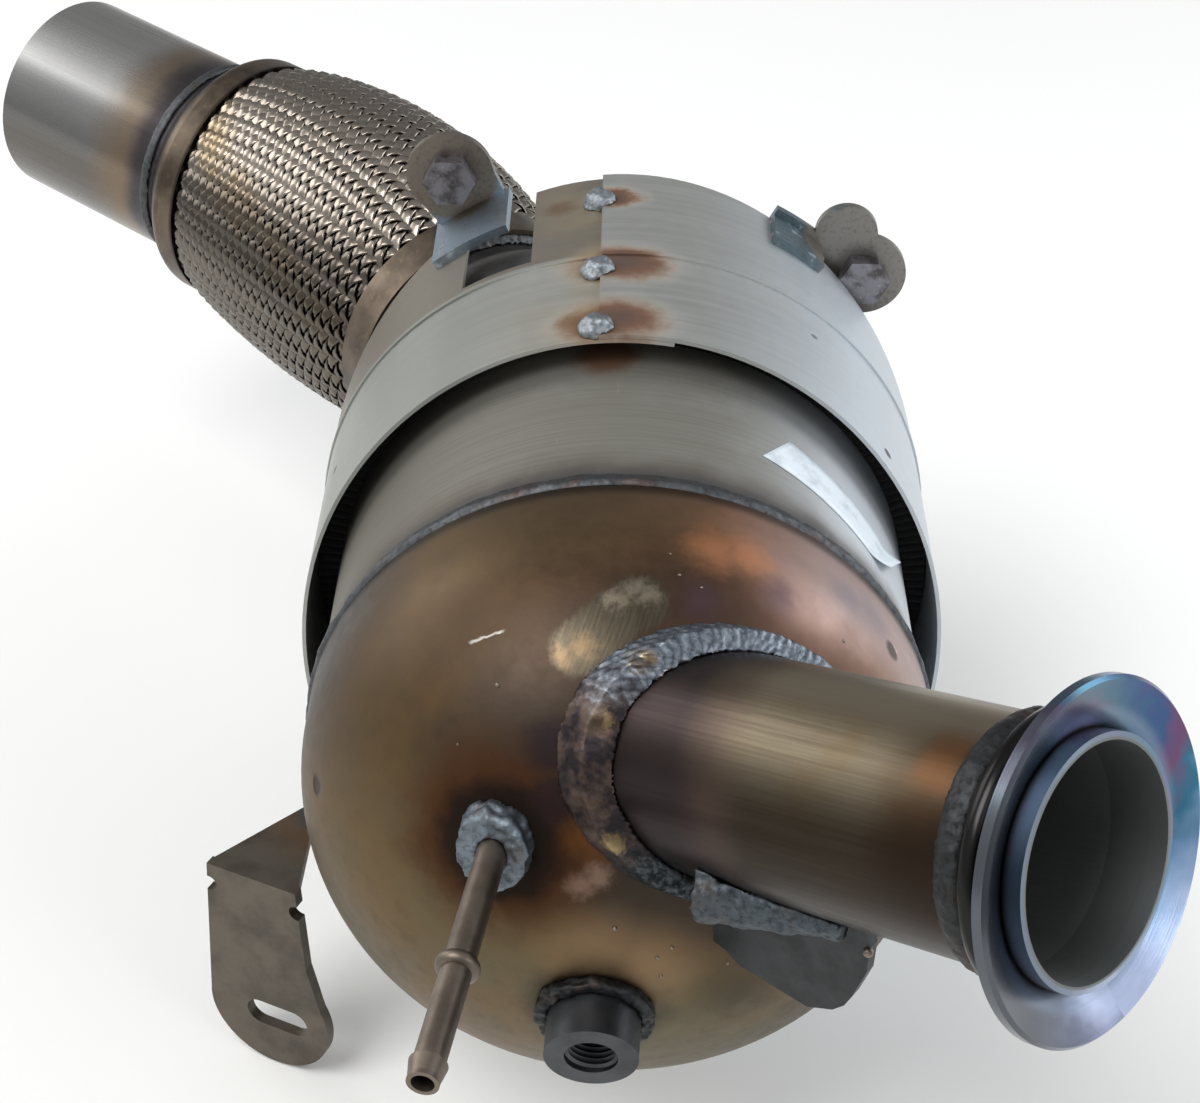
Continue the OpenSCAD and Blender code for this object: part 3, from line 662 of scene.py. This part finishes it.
def braid_finish():
    """Braid wire: bright stainless, straw gold in one band, with painted shade at the sides and on the
    upper side and a painted dark reflection band.
    """
    f = Finish("braid_wire", Metallic=1.0)
    cloud = f.noise(24, 3)
    fine = f.noise(3, 3)
    f.base = f.mix(colours().braid, "827a72", fine.step(0.42, 0.7) * 0.6)
    gold = f.along(OUTLET_WELD, (0.35, -0.2, 0.9))
    f.over("9a8460", gold.step(26, 34) * gold.step(46, 38) * cloud.step(0.3, 0.55) * 0.6)
    _, _, turn = f.around(OUTLET_WELD, OUTLET)
    # Painted shade at the sides
    f.over("5a534b", abs(turn + 8).step(48, 105) * 0.8)
    # Painted dark reflection band
    f.over("37322d", abs(turn - 70).step(24, 6) * 0.75)
    # Painted shade on the upper side
    f.over("6e6860", turn.step(26, 4) * 0.6)
    return f.surface(0.2 + 0.14 * cloud, f.bump(fine, 0.08, 0.2))


def plate_finish(name, colour, heat_point=None, heat_size=20.0, heat_colour=None):
    """Pressed steel plate, blued where it was heated."""
    f = Finish(name, Metallic=1.0)
    cloud = f.noise(12, 4)
    fine = f.noise(1.4, 4)
    f.base = f.mix(colour, darker(colour, 0.68), cloud.step(0.38, 0.68))
    if heat_point:
        near = f.distance(heat_point) + (cloud - 0.5) * 8
        f.over("7a6047", near.step(heat_size * 1.5, heat_size) * 0.6)
        f.over(heat_colour, near.step(heat_size, heat_size * 0.7) * 0.85)
    return f.surface(0.36 + 0.2 * fine, f.bump(fine + cloud, 0.1, 0.35))


def tab_finish(name, bolt, ear_colour, strap_colour, ear_size):
    """Shield tab: a browned ear and a strap that the weld has blued, with painted highlights on the strap.
    """
    f = Finish(name, Metallic=1.0)
    cloud = f.noise(7, 4)
    fine = f.noise(1.2, 4)
    ear = (f.distance(bolt) + (cloud - 0.5) * 4).step(ear_size, ear_size - 2)
    f.base = f.mix(strap_colour, ear_colour, ear)
    # Painted highlights in pale patches on the strap
    f.over("d3dde4", cloud.step(0.58, 0.7) * (1 - ear) * 0.7)
    f.over("3d3a36", fine.step(0.5, 0.75) * 0.35)
    return f.surface(0.34 + 0.25 * fine, f.bump(fine + cloud, 0.12, 0.4))


def block_finish(cell=1.6):
    """Filter block: porous ceramic with a grid of square channels on its ends, painted dark as shade in the
    channels.
    """
    f = Finish("filter_ceramic")
    x = abs(f.along(CAN, (1, 0, 0)).wave(cell) - 0.5)
    z = abs(f.along(CAN, UP).wave(cell) - 0.5)
    wall = x.most(z).step(0.36, 0.44)
    grain = f.noise(0.6, 3)
    f.base = f.mix("b09c82", "8d7c67", grain)
    # Painted shade in the channel openings
    f.over("3a332b", 1 - wall)
    return f.surface(0.85 + 0.1 * grain, f.bump(wall, 0.4, 0.6))


def fibre_finish():
    """Support mat: pale matted fibre."""
    f = Finish("mat_fibre")
    fibre = f.noise(0.5, 5, 0.7)
    f.base = f.mix("e2dccf", "b5ac9b", fibre.step(0.35, 0.7))
    return f.surface(0.9 + 0.08 * fibre, f.bump(fibre, 0.3, 0.6))


def mesh_finish(name, hollow_shade, wire):
    """Knitted wire rings: fine crossing loops, with painted shade in the hollows between them."""
    f = Finish(name, Metallic=0.6)
    y, _, turn = f.can_place()
    loops = (y + turn * 0.9).wave(1.6) * (y - turn * 0.9).wave(1.6)
    f.base = f.mix(hollow_shade, wire, loops.step(0.1, 0.5))
    return f.surface(0.55 - 0.15 * loops, f.bump(loops, 0.4, 0.8))


def label_finish():
    """Bare label: white film, slightly soiled, with painted shade in its crinkles."""
    f = Finish("label_film")
    cloud = f.noise(7, 4)
    grime = f.noise(2.2, 4, 0.7)
    # Painted shade in the crinkles, blue-grey
    f.base = f.mix(colours().label, "9ba6ad", cloud.step(0.48, 0.75) * 0.55)
    f.over("8f8d86", grime.step(0.6, 0.75) * 0.35)
    return f.surface(0.38 + 0.2 * cloud, f.bump(cloud, 0.15, 0.3))


def bolt_finish():
    """Bolts: plated steel, violet grey, rubbed bright in places."""
    f = Finish("bolt_steel", Metallic=1.0)
    fine = f.noise(1.1, 4)
    cloud = f.noise(5, 3)
    f.base = f.mix("8c8a90", "5b5759", cloud.step(0.4, 0.66))
    f.over("b8b6b8", fine.step(0.58, 0.75) * 0.6)
    return f.surface(0.3 + 0.25 * fine, f.bump(fine, 0.12, 0.4))


def paint(material, *nodes):
    """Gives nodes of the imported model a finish."""
    for name in nodes:
        slots = NODES[name].data.materials
        slots.clear()
        slots.append(material)


def add_piece(name, mesh, material, slot, *stands_for):
    """Links a mesh as a piece of the part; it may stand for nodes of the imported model."""
    mesh.materials.clear()
    mesh.materials.append(material)
    piece = bpy.data.objects.new(name, mesh)
    bpy.context.scene.collection.objects.link(piece)
    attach(piece, "root")
    if stands_for:
        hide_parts(*stands_for)
    return piece


def mesh_from(name, points, faces, smooth=True):
    """Mesh from points in millimetres."""
    mesh = bpy.data.meshes.new(name)
    mesh.from_pydata([Vector(p) * MM for p in points], [], faces)
    mesh.validate()
    for face in mesh.polygons:
        face.use_smooth = smooth
    return mesh


def fine_copy(node, grain):
    """Evenly meshed copy of a node."""
    source = bpy.data.objects.new(node + "_source", NODES[node].data.copy())
    bpy.context.scene.collection.objects.link(source)
    remesh = source.modifiers.new("even", "REMESH")
    remesh.mode = "VOXEL"
    remesh.voxel_size = grain * MM
    depsgraph = bpy.context.evaluated_depsgraph_get()
    mesh = bpy.data.meshes.new_from_object(source.evaluated_get(depsgraph))
    bpy.data.objects.remove(source)
    for face in mesh.polygons:
        face.use_smooth = True
    return mesh


def joined_copy(node, angle=35):
    """Copy of a node with its faces joined and shaded smooth."""
    mesh = NODES[node].data.copy()
    stored = mesh.attributes.get("custom_normal")
    if stored:
        mesh.attributes.remove(stored)
    cleaner = bmesh.new()
    cleaner.from_mesh(mesh)
    bmesh.ops.remove_doubles(cleaner, verts=cleaner.verts, dist=1e-6)
    cleaner.to_mesh(mesh)
    cleaner.free()
    mesh.shade_smooth()
    mesh.set_sharp_from_angle(angle=math.radians(angle))
    return mesh


def push(mesh, offset):
    """Moves each vertex along its normal by offset(points), in millimetres."""
    points = np.zeros(len(mesh.vertices) * 3, np.float32)
    normals = np.zeros_like(points)
    mesh.vertices.foreach_get("co", points)
    mesh.vertices.foreach_get("normal", normals)
    points = points.reshape(-1, 3)
    normals = normals.reshape(-1, 3)
    lift = np.asarray(offset(points / MM), np.float32)
    mesh.vertices.foreach_set("co", (points + normals * (lift * MM)[:, None]).ravel())
    mesh.update()


def lumps(points, size):
    """Cloudy values from about -1 to 1 at points."""
    return np.array([noise.noise(Vector(p) / size) for p in points.tolist()])


def round_axis(points, centre, axis):
    """Distance along an axis, radius and turn in radians of points."""
    up, side = square_to(axis)
    gap = points - np.array(centre)
    x = gap @ np.array(side)
    y = gap @ np.array(up)
    return gap @ np.array(axis), np.hypot(x, y), np.arctan2(x, y)


def ripples(sizes, centre, axis, lean=0.6, rough=0.35, molten_turn=None):
    """Offset for a bead around an axis: overlapping crescents and some scale, run together at one turn."""
    def offset(points):
        t, radius, turn = round_axis(points, centre, axis)
        middle_t = np.median(t)
        run = turn * np.median(radius) + lean * np.abs(t - middle_t)
        run = run + 0.8 * lumps(points, 9)
        share = np.mod(run / sizes.pitch, 1)
        crest = np.sqrt(np.clip(1 - share ** 2, 0, 1))
        height = sizes.height * (crest - 0.8) + rough * lumps(points, 2.2)
        if molten_turn is None:
            return height
        molten_half, fade = 0.6, 0.5
        keep = np.clip((np.abs(turn - molten_turn) - molten_half) / fade, 0, 1)
        return keep * height + (1 - keep) * 0.9 * lumps(points, 7)
    return offset


def rough_blob(size=2.4, height=0.6):
    """Offset for a blob weld."""
    def offset(points):
        return height * lumps(points, size) + 0.4 * height * lumps(points, size * 0.4)
    return offset


class FILTER_OT_shells(bpy.types.Operator):
    """Finishes the can, cap, pipes, shield, bracket, tabs and the pieces inside."""

    bl_idname = "filter.shells"
    bl_label = "Finish the shells"

    def execute(self, context):
        paint(can_finish(), "can_shell")
        add_piece("inlet_cap_smooth", joined_copy("inlet_cap"), cap_finish(), "cap_steel", "inlet_cap")
        paint(shield_finish(), "heat_shield")
        paint(pipe_finish(), "inlet_pipe")
        paint(flange_finish(), "inlet_flange")
        paint(outlet_finish(), "outlet_pipe")
        paint(flex_finish(), "flex_near_collar", "flex_far_cap")
        paint(block_finish(), "filter_block")
        paint(fibre_finish(), "support_mat")
        paint(mesh_finish("seal_mesh", "4a4743", "8f8a82"), "front_seal_ring", "rear_seal_ring")
        # The spacer painted near black as shadow in the gap under the shield
        paint(mesh_finish("spacer_mesh", "0f0f0f", "1f1e1d"), "shield_spacer")
        paint(plate_finish("gusset_plate", "444546"), "pipe_gusset")
        paint(plate_finish("sensor_pipe", "776d63"), "pressure_pipe")
        paint(plate_finish("boss_steel", "4e5053"), "sensor_boss")
        arm_root = on_can(CAN_R, CAN.y - 40, -118)
        bracket = plate_finish("bracket_steel", "6b645b", arm_root, 22, "4f5b64")
        paint(bracket, "mounting_bracket")
        left = middle("left_tab_bolt")
        right = middle("right_tab_bolt")
        paint(tab_finish("left_tab_steel", left, "827a71", "8c99a4", 15), "left_tab")
        paint(tab_finish("right_tab_steel", right, "8d8984", "6d7c82", 24), "right_tab")
        paint(bolt_finish(), "left_tab_bolt", "right_tab_bolt")
        return {"FINISHED"}


class FILTER_OT_coupling(bpy.types.Operator):
    """Smooths and finishes the cone, liner and bellows of the outlet."""

    bl_idname = "filter.coupling"
    bl_label = "Finish the outlet cone"

    def execute(self, context):
        finish = flex_finish("flex_inner_steel")
        for node in ("flex_liner", "flex_bellows"):
            add_piece(node + "_smooth", joined_copy(node), finish, "flex_steel", node)
        cone = plate_finish("cone_steel", "6d6c6a")
        add_piece("outlet_cone_smooth", joined_copy("outlet_cone"), cone, "can_steel", "outlet_cone")
        return {"FINISHED"}


class FILTER_OT_braid(bpy.types.Operator):
    """Weaves the sleeve of the coupling from crossing bundles of wire."""

    bl_idname = "filter.braid"
    bl_label = "Weave the braid"

    def execute(self, context):
        sizes = context.scene.filter_braid
        points = []
        faces = []
        for hand in (1, -1):
            for number in range(sizes.strands):
                self.weave_bundle(sizes, hand, number, points, faces)
        mesh = mesh_from("braid_sleeve", points, faces)
        add_piece("braid_sleeve", mesh, braid_finish(), "braid_wire", "flex_braid")
        return {"FINISHED"}

    @staticmethod
    def middle_line(sizes):
        """Near end of the bent middle line, its heading, the side it bends to, and its radius."""
        turn = math.radians(sizes.start_turn)
        rise = math.radians(sizes.start_rise)
        start = Vector((math.sin(turn) * math.cos(rise), -math.cos(turn) * math.cos(rise), math.sin(rise)))
        bend = start.angle(OUTLET)
        radius = sizes.length / bend
        inward = (OUTLET - OUTLET.dot(start) * start).normalized()
        chord = radius * (math.sin(bend) * start + (1 - math.cos(bend)) * inward)
        return FLEX_FAR - chord, start, inward, radius

    def bent_sleeve(self, sizes):
        """Function from (distance along the middle line, turn in degrees) and radius to a point."""
        root, start, inward, bend_radius = self.middle_line(sizes)
        side = start.cross(inward)

        def place(spot, radius):
            s, turn = spot
            on_bend = min(max(s, 0), sizes.length)
            angle = on_bend / bend_radius
            heading = math.cos(angle) * start + math.sin(angle) * inward
            out = math.cos(angle) * inward - math.sin(angle) * start
            centre = root + bend_radius * (math.sin(angle) * start + (1 - math.cos(angle)) * inward)
            centre += (s - on_bend) * heading
            a = math.radians(turn)
            return centre + radius * (math.cos(a) * out + math.sin(a) * side)
        return place

    def weave_bundle(self, sizes, hand, number, points, faces):
        """Adds one bundle: a closed strip with a row of half-round wires on top."""
        sleeve = self.bent_sleeve(sizes)
        step_turn = 360 / sizes.strands
        across = [-0.5 + j / (2 * sizes.wires) for j in range(2 * sizes.wires + 1)]
        crossings = 2 * sizes.turn * sizes.length / step_turn
        steps = round(3 * crossings)
        # Length under the end rings; a strip's depth in the sleeve, thickness, crown and half width below
        margin = 6.0
        sunk = 1.15
        depth = 0.5
        crown = 0.25
        under = 0.46
        first = len(points)
        for i in range(steps + 1):
            s = -margin + (sizes.length + 2 * margin) * i / steps
            turn = number * step_turn + hand * sizes.turn * s
            swell = math.sin(math.pi * min(max(s / sizes.length, 0), 1)) ** 0.6
            outer = sizes.end_radius + sizes.bulge * swell
            phase = 2 * sizes.turn * s / step_turn
            lift = math.cos(math.pi * phase) * hand * (0.25 + 0.45 * min(swell * 3, 1))
            radius = outer - sunk + lift
            slope = math.atan(math.radians(sizes.turn) * radius)
            tops = [(share, (sizes.wire if j % 2 else 0.0), crown * (2 * share) ** 2)
                    for j, share in enumerate(across)]
            for share, rise, drop in (*tops, (under, 0.0, depth), (-under, 0.0, depth)):
                w = share * sizes.width
                spot = (s - hand * w * math.sin(slope), turn + math.degrees(w * math.cos(slope) / radius))
                points.append(sleeve(spot, radius + rise - drop))
        row = len(across) + 2
        for i in range(steps):
            for j in range(row):
                a = first + i * row + j
                b = first + i * row + (j + 1) % row
                faces.append((a, b, b + row, a + row))
        faces.append(tuple(first + j for j in range(row))[::-1])
        faces.append(tuple(first + steps * row + j for j in range(row)))


class FILTER_OT_welds(bpy.types.Operator):
    """Lays the ripples and the scale of the welds."""

    bl_idname = "filter.welds"
    bl_label = "Lay the welds"

    def execute(self, context):
        sizes = context.scene.filter_welds
        dark = weld_finish("weld_dark", colours().weld)
        bright = weld_finish("weld_bright", colours().blob, 0.25)
        blue = weld_finish("weld_blue", "737c83", 0.5)
        black = weld_finish("weld_black", "56585a", 0.25)
        sooty = weld_finish("weld_sooty", "3c3d3e", 0.4)
        brown = weld_finish("weld_brown", "56585b", 0.4)
        grey = weld_finish("weld_grey", "51585d", 0.3)
        around_pipe = ripples(sizes, MOUTH, INLET, 0.9, 0.25, molten_turn=-1.4)
        beads = (
            ("rim_weld", brown, rough_blob(5.0, 0.35)),
            ("inlet_pipe_weld", pipe_weld_finish(), around_pipe),
            ("flange_weld", sooty, rough_blob(3.0, 0.3)),
            ("gusset_weld", grey, rough_blob(4.5, 0.9)),
            ("outlet_pipe_weld", black, rough_blob(3.0, 0.15)),
            ("outlet_cone_weld", black, ripples(sizes, middle("outlet_cone_weld"), CAN_AXIS, 0.8)),
            ("flex_collar_weld", black, rough_blob(1.8, 0.3)),
            ("pressure_pipe_weld", blue, rough_blob(4.2, 1.3)),
            ("sensor_boss_weld", sooty, rough_blob(3.0, 0.8)),
            ("shield_tack_welds", bright, rough_blob(2.4, 0.7)),
            ("bracket_weld", dark, rough_blob(2.4, 0.5)),
        )
        for node, finish, offset in beads:
            mesh = fine_copy(node, sizes.grain)
            push(mesh, offset)
            add_piece(node + "_bead", mesh, finish, "weld_metal", node)
        return {"FINISHED"}


class FILTER_OT_spatter(bpy.types.Operator):
    """Scatters the small drops of the pipe weld over the cap and sets a larger one at the gusset."""

    bl_idname = "filter.spatter"
    bl_label = "Scatter weld drops"

    def execute(self, context):
        dice = random.Random(7)
        past_weld, spread = 38, 9
        smallest, largest = 0.3, 0.6
        surface = bpy.data.objects["inlet_cap_smooth"]
        up, side = square_to(INLET)
        drops = bmesh.new()
        placed = 0
        while placed < context.scene.filter_welds.spatter:
            turn = dice.uniform(0, 2 * math.pi)
            gap = past_weld + abs(dice.gauss(0, spread))
            start = (MOUTH + gap * (math.cos(turn) * up + math.sin(turn) * side)) * MM
            hit, place, *_ = surface.ray_cast(start, -INLET)
            if not hit:
                continue
            radius = dice.uniform(smallest, largest) * MM
            made = bmesh.ops.create_icosphere(drops, subdivisions=2, radius=radius)
            bmesh.ops.translate(drops, vec=place, verts=made["verts"])
            placed += 1
        gusset_corner = Vector((-39.5, 23.1, -47.8))
        large = 1.2
        made = bmesh.ops.create_icosphere(drops, subdivisions=3, radius=large * MM)
        bmesh.ops.translate(drops, vec=gusset_corner * MM, verts=made["verts"])
        mesh = bpy.data.meshes.new("weld_drops")
        drops.to_mesh(mesh)
        drops.free()
        mesh.shade_smooth()
        add_piece("weld_drops", mesh, weld_finish("weld_drop_metal", "8f8477", 0.3), "weld_metal")
        return {"FINISHED"}


class FILTER_OT_label(bpy.types.Operator):
    """Sticks the bare label strip on the can, with one end lifting."""

    bl_idname = "filter.label"
    bl_label = "Stick the label"

    def execute(self, context):
        sizes = context.scene.filter_label
        columns = 28
        rows = 6
        glue = 0.1
        film = 0.18
        points = []
        for layer in (0, 1):
            for i in range(columns + 1):
                for j in range(rows + 1):
                    points.append(self.film_point(sizes, i / columns, j / rows, glue + film * layer))
        faces = []
        top = (columns + 1) * (rows + 1)
        for i in range(columns):
            for j in range(rows):
                a = i * (rows + 1) + j
                face = (a, a + 1, a + rows + 2, a + rows + 1)
                faces.append(face[::-1])
                faces.append(tuple(top + k for k in face))
        border = [i * (rows + 1) for i in range(columns + 1)]
        border += [columns * (rows + 1) + j for j in range(1, rows + 1)]
        border += [i * (rows + 1) + rows for i in range(columns - 1, -1, -1)]
        border += range(rows - 1, 0, -1)
        for a, b in zip(border, border[1:] + border[:1]):
            faces.append((b, a, top + a, top + b))
        mesh = mesh_from("label_strip", points, faces)
        add_piece("label_strip", mesh, label_finish(), None)
        return {"FINISHED"}

    @staticmethod
    def film_point(sizes, share, rear, height):
        """Point of the strip at a share of its length and of its width, at a height over the can."""
        turn = sizes.start_turn + (sizes.end_turn - sizes.start_turn) * share + sizes.skew * rear
        along = sizes.start_y + (sizes.end_y - sizes.start_y) * share + sizes.width * rear
        stuck, loose = 0.86, 0.14
        curl = max(share - stuck, 0) / loose
        return on_can(CAN_R + height + sizes.lift * curl ** 1.6, along, turn)


class FILTER_OT_thread(bpy.types.Operator):
    """Cuts the thread of the sensor boss."""

    bl_idname = "filter.thread"
    bl_label = "Cut the sensor thread"

    def execute(self, context):
        radius = MOUNTS["temperature_port"]["dims"]["r_mm"]
        pitch = 1.5
        depth = 0.75
        half_foot = 0.55
        overlap = 0.05
        lead_in = 1.0
        turns = 7
        steps = 40
        up, side = square_to(BOSS_AXIS)
        points = []
        for i in range(turns * steps + 1):
            a = 2 * math.pi * i / steps
            out = math.cos(a) * up + math.sin(a) * side
            sunk = BOSS - (lead_in + pitch * i / steps) * BOSS_AXIS
            foot = sunk + (radius + overlap) * out
            points.append(foot + half_foot * BOSS_AXIS)
            points.append(sunk + (radius - depth) * out)
            points.append(foot - half_foot * BOSS_AXIS)
        faces = [(0, 1, 2), (len(points) - 1, len(points) - 2, len(points) - 3)]
        for i in range(turns * steps):
            for j in range(3):
                a = 3 * i + j
                b = 3 * i + (j + 1) % 3
                faces.append((a, a + 3, b + 3, b))
        mesh = mesh_from("sensor_thread", points, faces, smooth=False)
        add_piece("sensor_thread", mesh, plate_finish("thread_steel", "55565a"), "boss_steel")
        return {"FINISHED"}


class FILTER_OT_stage(bpy.types.Operator):
    """Sets up the floor, the light and the camera."""

    bl_idname = "filter.stage"
    bl_label = "Set the stage"

    def execute(self, context):
        scene = context.scene
        reach = 6000
        gap = 0.5 * MM
        corners = [(reach * i, reach * j, 0) for i, j in ((-1, -1), (1, -1), (1, 1), (-1, 1))]
        floor_mesh = mesh_from("floor", corners, [(0, 1, 2, 3)])
        f = Finish("floor_paper")
        grain = f.noise(300, 3)
        f.base = f.mix(colours().floor, darker(colours().floor, 0.96), grain)
        floor_mesh.materials.append(f.surface(0.85))
        floor = bpy.data.objects.new("floor", floor_mesh)
        floor.location.z = CAD_BOX[0][2] - gap
        scene.collection.objects.link(floor)
        self.light_world(scene)
        self.add_lamp(scene, "key", (-0.9, -0.5, 1.5), 1.0, 22)
        self.add_lamp(scene, "fill", (1.3, -0.9, 0.9), 0.9, 9)
        self.add_lamp(scene, "left_wall", (-1.5, 0.9, 0.7), 1.0, 9)
        self.add_lamp(scene, "right_wall", (1.6, 0.7, 0.7), 1.1, 12)
        camera = bpy.data.objects.new("camera", bpy.data.cameras.new("camera"))
        # Place and tilt of the camera were fitted to the outlines in the photo
        camera.data.lens = 69.0
        camera.data.sensor_width = 36.0
        camera.location = (-0.091825, -0.328350, 0.305911)
        tilt, turn = 0.6172, 0.0139
        camera.rotation_euler = (math.pi / 2 - tilt, 0, turn)
        scene.collection.objects.link(camera)
        scene.camera = camera
        scene.view_settings.view_transform = "Standard"
        return {"FINISHED"}

    @staticmethod
    def light_world(scene):
        """Grey room: bright walls at both sides, a dimmer ceiling and back wall."""
        world = bpy.data.worlds.new("studio")
        world.use_nodes = True
        sky = Sky(world)
        across = sky.along((0, 0, 0), (1, 0, 0))
        height = sky.along((0, 0, 0), UP)
        wall = sky.mix((0.78, 0.78, 0.77), (0.82, 0.9, 1.0), across.step(-0.2, 0.7))
        room = sky.mix((0.4, 0.4, 0.4), wall, abs(across).step(0.25, 0.85))
        room = sky.mix(room, (0.62, 0.62, 0.63), height.step(0.55, 0.95) * 0.8)
        room = sky.mix(room, (0.3, 0.3, 0.3), height.step(0.0, -0.4))
        sky.tree.links.new(room.socket, sky.background.inputs["Color"])
        sky.background.inputs["Strength"].default_value = 0.85
        scene.world = world

    @staticmethod
    def add_lamp(scene, name, place, size, power):
        """Soft square lamp that looks at the middle of the part."""
        lamp = bpy.data.lights.new(name, "AREA")
        lamp.energy = power
        lamp.size = size
        lamp_object = bpy.data.objects.new(name, lamp)
        lamp_object.location = place
        part_middle = Vector((-0.1, 0.15, -0.05))
        aim = part_middle - lamp_object.location
        lamp_object.rotation_euler = aim.to_track_quat("-Z", "Y").to_euler()
        scene.collection.objects.link(lamp_object)


class FILTER_PT_panel(bpy.types.Panel):
    """Lists the steps and the values they use."""

    bl_label = "Particulate Filter"
    bl_idname = "FILTER_PT_panel"
    bl_space_type = "VIEW_3D"
    bl_region_type = "UI"
    bl_category = "Filter"

    def draw(self, context):
        for step in STEPS:
            self.layout.operator(step.bl_idname)
        for name, group in GROUPS.items():
            box = self.layout.box()
            for key in group.__annotations__:
                box.prop(getattr(context.scene, name), key)


STEPS = (
    FILTER_OT_shells,
    FILTER_OT_coupling,
    FILTER_OT_braid,
    FILTER_OT_welds,
    FILTER_OT_spatter,
    FILTER_OT_label,
    FILTER_OT_thread,
    FILTER_OT_stage,
)
GROUPS = {
    "filter_braid": BraidSizes,
    "filter_welds": WeldSizes,
    "filter_label": LabelSizes,
    "filter_colours": FinishColours,
}


def register():
    for group in GROUPS.values():
        bpy.utils.register_class(group)
    for name, group in GROUPS.items():
        setattr(bpy.types.Scene, name, PointerProperty(type=group))
    for step in (*STEPS, FILTER_PT_panel):
        bpy.utils.register_class(step)


def unregister():
    for step in (FILTER_PT_panel, *reversed(STEPS)):
        bpy.utils.unregister_class(step)
    for name, group in reversed(GROUPS.items()):
        delattr(bpy.types.Scene, name)
        bpy.utils.unregister_class(group)


def main():
    """Registers the add-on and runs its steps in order."""
    register()
    bpy.ops.filter.shells()
    bpy.ops.filter.coupling()
    bpy.ops.filter.braid()
    bpy.ops.filter.welds()
    bpy.ops.filter.spatter()
    bpy.ops.filter.label()
    bpy.ops.filter.thread()
    bpy.ops.filter.stage()


if __name__ == "__main__":
    main()
